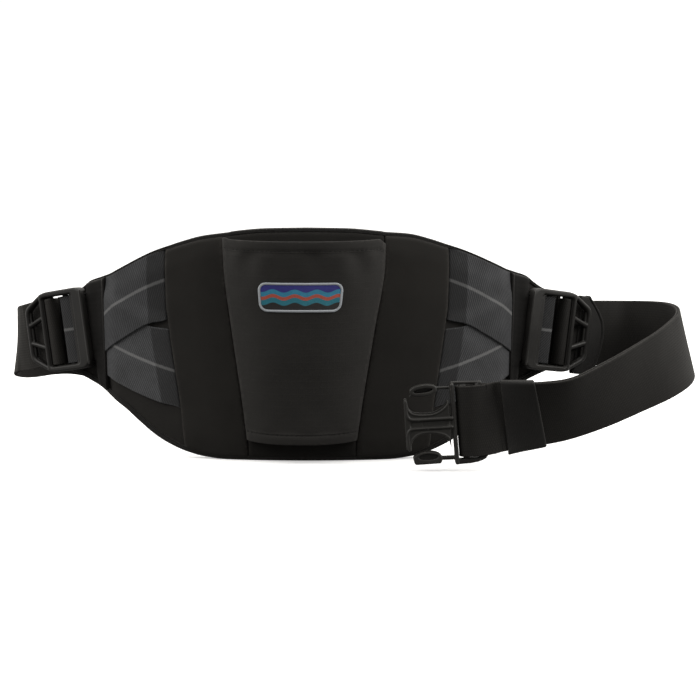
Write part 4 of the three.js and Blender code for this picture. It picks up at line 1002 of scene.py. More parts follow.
def badge():
    """A small embroidered rectangle of plain wavy stripes."""
    wide, tall, mid_z = 58.0, 21.0, 119.5
    k = Look("badge_stripes", 0.55, 0.45, 0.08, 0.3)
    u, v = k.weave()
    wave = k.mul(k.math("SINE", k.mul(u, 0.42)), 1.1)
    level = k.add(v, wave)
    colours = [
        (-99, (0.012, 0.012, 0.012)),
        (-4.6, (0.018, 0.200, 0.270)),
        (-1.0, (0.500, 0.090, 0.055)),
        (1.4, (0.030, 0.260, 0.420)),
        (4.6, (0.030, 0.030, 0.240)),
    ]
    colour = colours[0][1]
    for start, c in colours[1:]:
        colour = k.blend(k.span(level, start - 0.12, start + 0.12), colour, c)
    thread = k.wave(k.math("MULTIPLY_ADD", v, 0.25, u), 0.42)
    tone = k.add(k.mul(thread, 0.45), k.span(k.noise(1.2, 3.0), 0.2, 0.8, 0.45, 0.75))
    shade = k.node("ShaderNodeCombineColor")
    for i in range(3):
        k.put(shade.inputs[i], tone)
    colour = k.blend(1.0, colour, shade.outputs[0], "MULTIPLY")
    normal = k.bump(thread, 0.1, 0.9)
    stripes = k.done(colour, k.span(thread, 0, 1, 0.7, 0.45), normal)
    k = Look("badge_edge", 0.6, 0.4, 0.08, 0.3)
    u, v = k.weave()
    thread = k.wave(u, 0.55)
    colour = k.blend(k.add(k.mul(thread, 0.7), k.mul(k.noise(0.8, 2.0), 0.3)), (0.20, 0.22, 0.25), (0.52, 0.55, 0.58))
    edging = k.done(colour, k.span(thread, 0, 1, 0.75, 0.5), k.bump(thread, 0.12, 0.9))

    half_at = float(at(SLEEVE, "z", "half", mid_z))
    centre_t = -1.7 / half_at

    def spot(x, y, off):
        # x is measured along the curved cloth
        t = centre_t + x / (half_at * 1.03)
        return sleeve_point(t, mid_z + 1.0 + y, 1.1 + off)

    def outline(grow, n=160):
        r = 5.0
        hx, hy = wide / 2 - 1.0 + grow, tall / 2 - 1.0 + grow
        ang = np.linspace(0, 2 * np.pi, n, endpoint=False)
        # rounded rectangle walked at an even pace
        per = 4 * (hx - r) + 4 * (hy - r) + 2 * np.pi * r
        d = ang / (2 * np.pi) * per
        pts = []
        legs = [(hx - r) * 2, np.pi * r / 2, (hy - r) * 2, np.pi * r / 2] * 2
        starts = [
            ((-hx + r, -hy), 0), ((hx - r, -hy + r), -90), ((hx, -hy + r), 90), ((hx - r, hy - r), 0),
            ((hx - r, hy), 180), ((-hx + r, hy - r), 90), ((-hx, hy - r), 270), ((-hx + r, -hy + r), 180),
        ]
        for x in d:
            k2 = 0
            while x > legs[k2] and k2 < 7:
                x -= legs[k2]
                k2 += 1
            (cx, cy), turn = starts[k2]
            if k2 % 2 == 0:
                c, s_ = math.cos(math.radians(turn)), math.sin(math.radians(turn))
                pts.append((cx + c * x, cy + s_ * x))
            else:
                w = math.radians(turn) + x / r
                pts.append((cx + r * math.cos(w), cy + r * math.sin(w)))
        return np.array(pts), d

    loop, run = outline(0)
    rings = np.array([0.0, 0.12, 0.3, 0.5, 0.7, 0.85, 0.95, 1.0])
    x, y = loop[:, 0][:, None] * rings, loop[:, 1][:, None] * rings
    off = 0.42 + 0.06 * np.sin(x * 3.1) * rings
    f, b = spot(x, y, off), spot(x, y, 0.05 + 0 * x)
    pts, quads, uv = shell_data(f, b, np.stack([np.concatenate([x, x[:1]]), np.concatenate([y, y[:1]])], -1), ring=True)
    # the centre column is one point: weld it and drop the strip between the faces
    n = len(loop)
    keep = np.array([len(set((round(float(c[0]), 5), round(float(c[1]), 5), round(float(c[2]), 5)) for c in pts[f_])) >= 3 for f_ in quads])
    quads, uv = quads[keep], uv[keep]
    me_pts, inverse = np.unique(pts.round(5), axis=0, return_inverse=True)
    quads = inverse.ravel()[quads]
    ob = make_mixed("badge", me_pts, quads, stripes, uv)
    # overlocked edge: a bead round it
    sides = 12
    ang = np.arange(sides) * 2 * np.pi / sides
    tang = unit(np.roll(loop, -1, 0) - np.roll(loop, 1, 0))
    normal2 = np.stack([tang[:, 1], -tang[:, 0]], -1)
    rr = 0.85
    lump = 1 + 0.07 * np.sin(run * 2 * np.pi / 0.55)
    x = loop[:, 0][:, None] + normal2[:, 0][:, None] * rr * np.cos(ang) * lump[:, None]
    y = loop[:, 1][:, None] + normal2[:, 1][:, None] * rr * np.cos(ang) * lump[:, None]
    o = 0.42 + 0.42 * np.sin(ang)[None] * lump[:, None]
    p = spot(x, y, o)
    i, j = (q.ravel() for q in np.meshgrid(np.arange(n), np.arange(sides), indexing="ij"))
    i1, j1 = (i + 1) % n, (j + 1) % sides
    q = np.stack([i * sides + j, i1 * sides + j, i1 * sides + j1, i * sides + j1], -1)
    run1 = np.concatenate([run, [run[-1] + run[1]]])
    uvq = np.stack([np.stack([run1[a], c * 0.4], -1) for a, c in ((i, j), (i + 1, j), (i + 1, j + 1), (i, j + 1))], 1)
    make("badge_edge", p.reshape(-1, 3), q, edging, uvq, slot="sleeve_cloth")


def make_mixed(name, verts, quads, mat, uv):
    """Like make, for quads of which some have shrunk to triangles."""
    v = (np.asarray(verts, float) + np.array([0, SHIFT_Y, 0])) * 0.001
    faces, corners = [], []
    for f, t in zip(quads.tolist(), uv.tolist()):
        ids, at_ = [], []
        for k, c in zip(f, t):
            if k not in ids:
                ids.append(k)
                at_.append(c)
        if len(ids) >= 3:
            faces.append(ids)
            corners += at_
    me = bpy.data.meshes.new(name)
    me.from_pydata(v.tolist(), [], faces)
    layer = me.uv_layers.new(name="Weave")
    layer.uv.foreach_set("vector", (np.array(corners) * 0.01).ravel().astype(np.float32))
    import bmesh

    bm = bmesh.new()
    bm.from_mesh(me)
    bmesh.ops.recalc_face_normals(bm, faces=bm.faces)
    bm.to_mesh(me)
    bm.free()
    me.shade_smooth()
    ob = bpy.data.objects.new(name, me)
    bpy.context.scene.collection.objects.link(ob)
    me.materials.append(mat)
    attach(ob, "root")
    return ob


badge()

# ------------------------------------------------------------------ wing webbing


def lower_top(s):
    rows = dict(s=WING_LOWER["s_top"], z=WING_LOWER["z_top"])
    return at(rows, "s", "z", s)


def wing_strap(name, side, rows, over, mat):
    nu = 70
    u = np.linspace(0, 1, nu)[:, None]
    k = u * 4
    a, b = (q[None] for q in spread(34))
    s_low, s_top = at(rows, "k", "s_low", k), at(rows, "k", "s_top", k)
    z_low, z_top = at(rows, "k", "z_low", k), at(rows, "k", "z_top", k)
    s = s_low + 0 * a
    for _ in range(8):
        top = face_high(side * s) if over else z_top
        tall = top - z_low
        z = z_low + a + b * tall
        v = (z - z_low) / (z_top - z_low)
        s = mix(s_low, s_top, v)
        # both ends are cut along the seams
        s = s + (seam(z) + GAP - s) * np.clip(1 - u * 6, 0, 1) ** 1.0
    # along and across the webbing itself
    fit = np.polyfit(rows["s_low"], rows["z_low"], 2)
    tilt = np.arctan(np.polyval(np.polyder(fit), 128.0))
    off = z - np.polyval(fit, s)
    across = off * np.cos(tilt)
    along = s / np.cos(tilt) + off * np.sin(tilt)
    lift = LAYER * (1 - step(2.5, 14, z - lower_top(s))) * step(-0.2, 0.3, z - 0) if over else 0 * z
    d_low = z - z_low
    d_top = (z_low + tall) - z
    d_in = s - seam(z) - GAP
    d_out = (s[-1:] - s) + 0.0
    # the webbing dips into the seam inside a crease that runs beside it
    into = np.clip(1 - (s - seam(z)) / 14.0, 0, 1)
    dip = -1.5 * into
    p = np.stack([s, z], -1)
    soft = 0.1 * wander(p, 51 if over else 52, 14)
    base = front(side * s, z) + 2 * GAP * 0.6 + lift + dip
    t = WING_T * mix(0.35, 1, round_edge(np.minimum(d_low, np.where(over, 9.0, d_top)), 0.7)) * mix(0.4, 1, round_edge(np.minimum(d_in, 20), 1.2))
    f = base + t + soft
    # darker, smoother webbing inboard of the crease beside the seam: partly painted shade of the crease, partly the
    # webbing's own darker finish
    shade = step(0.0, 0.9, 14.4 - (s - seam(z))) * 0.85 + 0.15 * into
    rim = (1 - step(0.2, 1.4, np.minimum(d_low, d_top)))
    shell(name, place(side * s, z, f), place(side * s, z, base), np.stack([along, across], -1), mat,
          attrs=dict(rim=rim, shade=shade), slot="wing_webbing", replaces=(name.replace("webbing_", "wing_strap_"),))


def end_cap(label, side):
    nu = 30
    u = np.linspace(0, 1, nu)[:, None]
    a, b = (q[None] for q in spread(30))
    s = CAP_START + 0 * a + 0 * u
    bk, turn = BUCKLE[label], BEND_HALF / BEND_RADIUS
    rail = BEND_HALF + (abs(bk["x"]) - (BEND_RADIUS + BK_LEVEL) * math.sin(turn)) / math.cos(turn) + BK["start"]
    for _ in range(8):
        z0, z1 = face_low(s) - 0.4, face_high(side * s) + 0.4
        z = z0 + a + b * (z1 - z0)
        end = rail - CAP_GAP + (z - bk["z"]) * math.tan(math.radians(bk["droop"]))
        # between the side rails it runs in a little way under the inner rail
        end = end + 2.2 * (1 - step(21, 24.5, np.abs(z - bk["z"])))
        s = mix(CAP_START - 0.9 + (z - 91) / 36, end, u)
    d = np.minimum(z - z0, z1 - z)
    fr = at(PADDING, "s", "front", np.abs(s))
    top = mix(fr + GAP + 2.9, 8.6, step(0.1, 0.9, u))
    bead = 0.75 * bell(u * 11.5 - 1.2, 0.9) - 0.5 * bell(u * 11.5 - 2.8, 0.8)
    p = np.stack([s, z], -1)
    soft = 0.12 * wander(p, 61, 9)
    f = mix(fr + 0.6, top + bead + soft, mix(0.15, 1, round_edge(d, 2.4)) * mix(0.55, 1, round_edge(u * 11.5, 0.9)))
    shell("cap_" + label, place(side * s, z, f), place(side * s, z, np.minimum(fr + 0.3, f - 0.2)), np.stack([z, s], -1), TAPE,
          attrs=dict(rim=0.3 * bell(u * 11.5 - 1.2, 0.9) + 0 * z), slot="panel_cloth", replaces=("end_cap_" + label,))


for label, side in (("left", -1), ("right", 1)):
    wing_strap("webbing_lower_" + label, side, WING_LOWER, False, TWILL_LOW)
    wing_strap("webbing_upper_" + label, side, WING_UPPER, True, TWILL_UP)
    end_cap(label, side)

# ------------------------------------------------------------------ ribbon work


def buckle_frame(label):
    b = BUCKLE[label]
    side = 1 if label == "right" else -1
    yaw, droop = math.radians(b["yaw"]), math.radians(b["droop"])
    u = np.array([side * math.cos(yaw) * math.cos(droop), math.sin(yaw) * math.cos(droop), -math.sin(droop)])
    n = np.array([side * math.sin(yaw), -math.cos(yaw), 0])
    w = np.cross(n, u) * side
    return dict(o=np.array([b["x"], b["y"], b["z"]]), u=u, w=w, n=n, side=side)


def on_buckle(f, u, w, n):
    u, w, n = np.broadcast_arrays(*(np.asarray(q, float) for q in (u, w, n)))
    return f["o"] + u[..., None] * f["u"] + w[..., None] * f["w"] + n[..., None] * f["n"]


def curve(points, per=8):
    """Smooth line through points, as the model's own curves run."""
    pts = np.asarray(points, float)
    first, last = 2 * pts[0] - pts[1], 2 * pts[-1] - pts[-2]
    full = np.concatenate([[first], pts, [last]])
    out = []
    for i in range(len(pts) - 1):
        p0, p1, p2, p3 = full[i : i + 4]
        d0, d1, d2 = (max(1e-4, np.sum((b - a) ** 2) ** 0.25) for a, b in ((p0, p1), (p1, p2), (p2, p3)))
        t1 = ((p1 - p0) / d0 - (p2 - p0) / (d0 + d1) + (p2 - p1) / d1) * d1
        t2 = ((p2 - p1) / d1 - (p3 - p1) / (d1 + d2) + (p3 - p2) / d2) * d1
        w = np.arange(per)[:, None] / per
        out.append(p1 + t1 * w + (-3 * p1 + 3 * p2 - 2 * t1 - t2) * w**2 + (2 * p1 - 2 * p2 + t1 + t2) * w**3)
    return np.concatenate(out + [pts[-1:]])


def route(rows, side, count):
    top = np.stack([rows["top_x"], rows["top_y"], rows["top_z"]], -1)
    bottom = np.stack([rows["low_x"], rows["low_y"], rows["low_z"]], -1)
    per = 40
    a, b = curve(top, per), curve(bottom, per)
    grid = np.linspace(0, 1, len(a))

    def point(c, t):
        return np.stack([np.interp(t, grid, c[:, k]) for k in range(3)], -1)

    t = np.linspace(0, 1, count + 1)
    pa, pb = point(a, t), point(b, t)
    before, after = np.maximum(0, t - 0.01), np.minimum(1, t + 0.01)
    d = unit(point(a, after) + point(b, after) - point(a, before) - point(b, before))
    w = unit(pa - pb)
    n = unit(np.cross(d, w) * side)
    return dict(t=t, c=(pa + pb) / 2, w=w, n=n, d=d)


def loop_stations(o, x, y, w, pts):
    """Stations along a flat line drawn in the plane of x and y."""
    d = unit(np.gradient(pts, axis=0))
    c = o + pts[:, :1] * x + pts[:, 1:] * y
    n = d[:, :1] * y - d[:, 1:] * x
    return dict(c=c, w=np.broadcast_to(w, c.shape).copy(), n=n)


def chain(parts):
    return {k: np.concatenate([p[k] for p in parts]) for k in ("c", "w", "n")}


def even(st, pitch, soft=1.0):
    """The same ribbon with stations a fixed distance apart, slightly smoothed."""
    gaps = np.linalg.norm(np.diff(st["c"], axis=0), axis=1)
    keep = np.concatenate([[True], gaps > 1e-3])
    st = {k: v[keep] for k, v in st.items()}
    run = np.concatenate([[0], np.cumsum(np.linalg.norm(np.diff(st["c"], axis=0), axis=1))])
    n = int(run[-1] / pitch)
    t = np.linspace(0, run[-1], n + 1)
    out = {k: np.stack([np.interp(t, run, v[:, i]) for i in range(3)], -1) for k, v in st.items()}
    taps = np.exp(-0.5 * (np.arange(-6, 7) * pitch / soft) ** 2)
    taps /= taps.sum()
    for k in out:
        padded = np.concatenate([np.repeat(out[k][:1], 6, 0), out[k], np.repeat(out[k][-1:], 6, 0)])
        sm = np.stack([np.convolve(padded[:, i], taps, "valid") for i in range(3)], -1)
        sm[0], sm[-1] = out[k][0], out[k][-1]
        out[k] = sm
    d = unit(np.gradient(out["c"], axis=0))
    out["w"] = unit(out["w"] - d * (out["w"] * d).sum(-1, keepdims=True))
    n1 = np.cross(d, out["w"])
    sign = np.sign((n1 * out["n"]).sum(-1, keepdims=True))
    out["n"] = n1 * np.where(sign == 0, 1, sign)
    out["d"], out["run"] = d, t
    return out


def ribbon(name, st, width, thick, mat, slot, replaces, seed, wave=0.12, attrs_shade=None, middle=0.0, lean=0.0):
    """Webbing along stations, with a soft selvedge and a little life in it."""
    a, b = spread(20)
    run = st["run"][:, None]
    width = width + 0 * run
    w = a + b * width - width / 2
    d = width / 2 - np.abs(w)
    body = thick / 2 * mix(0.35, 1, round_edge(d, 0.8)) + 0.06 * bell(d - 1.1, 0.6)
    ends = np.minimum(run, run[-1:] - run)
    body = body * mix(0.55, 1, round_edge(ends, 0.5))
    q = np.stack(np.broadcast_arrays(run, w + seed * 100), -1)
    soft = wave * wander(q, seed, 16)
    c = st["c"][:, None] + st["w"][:, None] * (w + lean)[..., None] + st["n"][:, None] * soft[..., None]
    f, k = c + st["n"][:, None] * body[..., None], c - st["n"][:, None] * body[..., None]
    uv = np.stack(np.broadcast_arrays(run, w + middle), -1)
    attrs = dict(rim=1 - step(0.1, 1.3, d))
    # a constant shade value darkens the whole ribbon: painted shade
    if attrs_shade is not None:
        attrs["shade"] = np.full(f.shape[:2], attrs_shade)
    return shell(name, f, k, uv, mat, attrs=attrs, slot=slot, replaces=replaces)


CLASP_A = np.array([math.cos(math.radians(CLASP["tilt"])), 0, math.sin(math.radians(CLASP["tilt"]))])
CLASP_C = np.array([0.0, -1.0, 0.0])
CLASP_B = np.cross(CLASP_C, CLASP_A)
CLASP_O = np.array([CLASP["x"], CLASP["y"], CLASP["z"]]) - CLASP_A * CLASP["bar"]

right_route = route(ROUTE_RIGHT, 1, 192)
left_route = route(ROUTE_LEFT, -1, 144)
left_end = {k: v[-1] for k, v in left_route.items() if k != "t"}
MALE_A = -left_end["d"]
MALE_B = unit(left_end["w"] - MALE_A * (left_end["w"] @ MALE_A))
MALE_C = np.cross(MALE_B, MALE_A)
MALE_O = left_end["c"] - MALE_A * 65


def belt_strap(name, label, line, o, a, b, c, rows, node):
    loop = curve(np.stack([rows["a"], rows["c"]], -1), 6)
    loop = loop_stations(o, a, c, b, loop)
    load = {k: v[::-1].copy() for k, v in line.items() if k != "t"}
    load["n"] = -load["n"]
    f = buckle_frame(label)
    wrap = curve(np.stack([WRAP["u"], WRAP["n"]], -1), 6)
    wrap = loop_stations(f["o"], f["u"], f["n"], f["w"], wrap)
    on = line["t"] <= TAIL_END[label]
    tail = {k: v[on] for k, v in line.items() if k != "t"}
    tail["c"] = tail["c"] + tail["n"] * LAYER
    st = even(chain([loop, load, wrap, tail]), 1.1, 0.9)
    # the clasp squeezes the webbing a little
    near = (1 - step(58, 104, st["run"][:, None])) if label == "right" else 0.0
    # the left strap takes the lighter copy of the webbing, painted light
    ribbon(name, st, WEB_W - (0.8 if label == "right" else 2.0) * near, WEB, STRAP if label == "right" else STRAP_PAINTED_LIGHT_LEFT, "belt_webbing", (node,), 71 if label == "right" else 72, lean=1.3 * near)
    return st


right_strap = belt_strap("belt_right", "right", right_route, CLASP_O, CLASP_A, CLASP_B, CLASP_C, LOOP_SHOWN, "strap_right")
left_strap = belt_strap("belt_left", "left", left_route, MALE_O, MALE_A, MALE_B, MALE_C, LOOP_HIDDEN, "strap_left")
print("strap lengths mm", round(float(right_strap["run"][-1])), round(float(left_strap["run"][-1])))

for label in ("left", "right"):
    f = buckle_frame(label)
    line = curve(np.stack([ANCHOR["u"], ANCHOR["n"]], -1), 6)
    st = even(loop_stations(f["o"], f["u"], f["n"], f["w"], line), 0.7, 0.6)
    # both anchor loops carry a shade value of 0.55, painted shade inside the buckles; the right one also takes the
    # darker copy
    ribbon("anchor_webbing_" + label, st, WEB_W, WEB, TWILL_UP if label == "left" else ANCHOR_PAINTED_SHADE_RIGHT, "wing_webbing",
           ("anchor_loop_" + label,), 75, 0.05, 0.55, 25.0)

# --------------------------------------------------------------------- keepers


def keeper_loop(half_w, n0, n1, grow, r0=1.0, per=6, flat=22):
    r = r0 + grow
    hw, a0, a1 = half_w + grow, n0 - grow, n1 + grow
    pts = []
    for cw, cn, start in ((hw - r, a1 - r, 0), (-hw + r, a1 - r, 90), (-hw + r, a0 + r, 180), (hw - r, a0 + r, 270)):
        for k in np.linspace(0, 90, per):
            ang = math.radians(start + k)
            pts.append((cw + r * math.cos(ang), cn + r * math.sin(ang)))
        if start in (0, 180):
            for k in np.linspace(0, 1, flat + 2)[1:-1]:
                pts.append((mix(cw, -cw, k), cn + (-r if start else r)))
    return np.array(pts)


def keepers():
    inner = keeper_loop(WEB_W / 2 + GAP + 0.2, -WEB / 2 - GAP * 0.7, LAYER + WEB / 2 + GAP * 0.7, 0)
    outer = keeper_loop(WEB_W / 2 + GAP + 0.2, -WEB / 2 - GAP * 0.7, LAYER + WEB / 2 + GAP * 0.7, KEEPER_T)
    t, q = right_route["t"], KEEPER_FRONT
    share = np.linspace(0, 1, 44)[None]
    reach = inner[:, :1] / (WEB_W / 2)
    along = mix(q["start"] + q["lead_start"] * reach, q["end"] + q["lead_end"] * reach, share) / 48
    st = {k: np.stack([np.interp(along, t, right_route[k][:, i]) for i in range(3)], -1) for k in ("c", "w", "n")}
    run = np.concatenate([[0], np.cumsum(np.linalg.norm(np.diff(st["c"].mean(0), axis=0), axis=1))])
    d = np.minimum(run, run[-1] - run)
    grow = mix(0.35, 1, round_edge(d, 0.8))
    loop = inner[:, None] + (outer - inner)[:, None] * grow[None, :, None]
    f = st["c"] + loop[..., :1] * st["w"] + loop[..., 1:] * st["n"]
    g = st["c"] + inner[:, None, :1] * st["w"] + inner[:, None, 1:] * st["n"]
    around = np.concatenate([[0], np.cumsum(np.linalg.norm(np.diff(np.concatenate([outer, outer[:1]]), axis=0), axis=1))])
    uv = np.stack(np.broadcast_arrays(around[:, None], run[None]), -1)
    rim = np.broadcast_to(1 - step(0.1, 1.2, d)[None], f.shape[:2])
    shell("keeper_webbing_front", f, g, uv, KEEPER, ring=True, attrs=dict(rim=rim), slot="belt_webbing", replaces=("keeper_front",))
    # the keeper at the right buckle: a tall loop with a bead along its curved edge
    f_, q = buckle_frame("right"), KEEPER_RIGHT
    low0, high0 = -1.25 - WEB / 2 - GAP, 0.55 + WEB / 2 + GAP
    inner = keeper_loop(q["half"], low0, high0, 0, 0.7, 6, 40)
    outer = keeper_loop(q["half"], low0, high0, KEEPER_T - 0.25, 0.7, 6, 40)
    reach = at(KEEPER_CURVE, "w", "reach", inner[:, :1])
    fine = np.array([0, 0.25, 0.6, 1.0, 1.5, 2.0, 2.4, 2.7, 3.0, 3.5, 4.2, 5.2])
    v = np.linspace(0, 1, 30)[None]
    u = np.concatenate([mix(q["start"], reach - 5.2, v[:, :-1]), (reach - fine[None])[:, ::-1]], 1)
    d = np.minimum(u - q["start"], reach - u)
    bead = 0.75 * np.sqrt(np.clip(1 - ((reach - u - 1.2) / 1.2) ** 2, 0, 1)) - 0.35 * bell(reach - u - 2.9, 0.45)
    grow = mix(0.35, 1, round_edge(u - q["start"], 0.7)) * mix(0.2, 1, round_edge(reach - u, 0.4)) + bead
    loop = inner[:, None] + (outer - inner)[:, None] * grow[..., None]
    f = on_buckle(f_, u, loop[..., 0] - q["drop"], loop[..., 1])
    g = on_buckle(f_, u, inner[:, None, 0] + 0 * u - q["drop"], inner[:, None, 1] + 0 * u)
    around = np.concatenate([[0], np.cumsum(np.linalg.norm(np.diff(np.concatenate([outer, outer[:1]]), axis=0), axis=1))])
    uu = np.concatenate([u, u[:1]])
    uv = np.stack(np.broadcast_arrays(around[:, None], uu), -1)
    rim = 1 - step(0.1, 1.4, d)
    shell("keeper_webbing_right", f, g, uv, KEEPER, ring=True, attrs=dict(rim=rim), slot="belt_webbing", replaces=("keeper_right",))


keepers()

# ------------------------------------------------------------- moulded plastics


def moulded(name, f, lo, hi, h, o, x, y, z, node):
    verts, quads = surface(f, lo, hi, h)
    world = o + verts[:, :1] * x + verts[:, 1:2] * y + verts[:, 2:] * z
    # the left buckle gets the painted-shade copy and the clasp the painted-light copy of one plastic
    look = dict(tension_buckle_left=PLASTIC_PAINTED_SHADE_LEFT, female_clasp=PLASTIC_PAINTED_LIGHT_CLASP).get(node, PLASTIC)
    ob = make(name, world, quads, look, None, slot="moulded_plastic", replaces=(node,))
    return ob


def round_both(a, b, k):
    """Where both shapes overlap, with the corner between them rounded."""
    return -both(-a, -b, k)


def smooth_outline(points, per=5):
    """A flat outline through points, kept sharp where a point is given twice."""
    return [tuple(q) for q in curve(np.array(points, float), per)]


def tube(x, y, z, points, level, r):
    """A round bead along a flat line of points."""
    d = np.full(np.shape(x), 1e9)
    for (ax, ay), (bx, by) in zip(points[:-1], points[1:]):
        ex, ey = bx - ax, by - ay
        k = np.clip(((x - ax) * ex + (y - ay) * ey) / (ex * ex + ey * ey), 0, 1)
        d = np.minimum(d, (x - ax - ex * k) ** 2 + (y - ay - ey * k) ** 2)
    return np.sqrt(d + (z - level) ** 2) - r


def buckle_shape(u, w, n):
    aw = np.abs(w)
    slope = np.array([BK["half"] - BK["rim"], BK["length"] - BK["chamfer"]])
    slope = slope / np.linalg.norm(slope)
    cut = slope[0] * (u - BK["chamfer"]) + slope[1] * (aw - BK["half"])
    plan = round_both(BK["start"] - u, aw - BK["half"], 9.0)
    plan = round_both(round_both(plan, cut, 3.5), u - BK["length"], 4.0)
    # frame: rails above and below, and the wide flat inner rail with its lower ledge
    inside = sd_box2(u, w, 6.9, BK["grip"], -26.3, 26.3, 2.2)
    ring = np.maximum(np.maximum(plan, -inside), u - 40.3)
    d = slab(ring, n, 0.2, 9.0, 1.25)
    # a fine raised lip along the inner edge of the wide rail
    lip = np.hypot(np.maximum(np.abs(u - BK["start"] - 0.9) - 0.1, 0), n - 8.75) - 0.65
    d = both(d, np.maximum(lip, aw - BK["half"] + 2.4), 0.35)
    under = slab(sd_box2(u, w, -6, 12, -26, 26, 1.0), n, -2, 3.9, 0.6)
    d = less(d, under, 0.6)
    ledge = np.maximum(plan, -sd_box2(u, w, BK["slot"], BK["grip"] - 0.6, -25.9, 25.9, 1.6))
    d = both(d, slab(np.maximum(ledge, u - 38.5), n, 5.3, 7.2, 0.35), 0.3)
    # bars
    d = both(d, slab(sd_box2(u, w, 16.1, 20.8, -27.5, 27.5, 0.5), n, 1.0, 3.55, 1.1), 0.8)
    d = both(d, slab(sd_box2(u, w, 30.6, 35.1, -27.5, 27.5, 0.5), n, 1.0, 5.2, 2.0), 0.8)
    # grip: an upright band, three windows with two ribs between them, and a round rim
    grip = np.maximum(plan, BK["grip"] - u)
    holes = np.minimum(
        sd_poly(u, w, [(40.6, -9.3), (51.4, -5.2), (51.4, 5.2), (40.6, 9.3)]),
        sd_poly(u, aw, [(40.6, 13.4), (51.4, 9.3), (51.4, 16.9), (42.4, 23.4), (40.6, 23.4)]),
    )
    plate = slab(np.maximum(grip, 0.6 - holes), n, 3.7, 6.3, 0.7)
    d = both(d, plate, 0.9)
    band = slab(sd_box2(u, w, BK["grip"] + 0.05, 40.4, -27, 27, 1.0), n, 3.7, 8.3, 1.35)
    d = both(d, band, 0.7)
    rim = np.hypot(np.maximum(np.abs(plan + 1.6) - 0.15, 0), n - 6.8) - 1.55
    d = both(d, np.maximum(rim, 38.5 - u), 0.6)
    ribs = tube(u, aw, n, [(39.4, 11.6), (53.0, 7.0)], 6.3, 1.75)
    return both(d, ribs, 0.8)


# Outlines of the clasp's socket half, drawn in a and b.
HOLE_UP = smooth_outline([(3.4, 30), (3.4, 18), (3.5, 14.2), (5.7, 10.1), (9.9, 8.5), (15, 8.1), (20.2, 8.2), (24.6, 9.7), (29.1, 12.8), (31.0, 16.2), (31.6, 22), (31.6, 30)])
HOLE_LOW = smooth_outline([(4.3, -30), (4.2, -17), (4.5, -12.5), (6.2, -9.0), (10.7, -5.9), (16.5, -5.3), (21.9, -5.8), (27.8, -7.9), (30.4, -10.6), (31.9, -17.8), (32.0, -30)])
RIDGE_UP = smooth_outline([(33.4, 4.2), (20, 4.4), (8, 4.65), (5.3, 5.0), (3.6, 6.2), (2.7, 8.4), (2.2, 12), (2.1, 18.0)])
RIDGE_LOW = smooth_outline([(33.0, -1.9), (20, -1.8), (8, -1.7), (5.3, -1.9), (3.5, -2.9), (2.6, -5.0), (2.5, -9), (2.9, -16.0)])


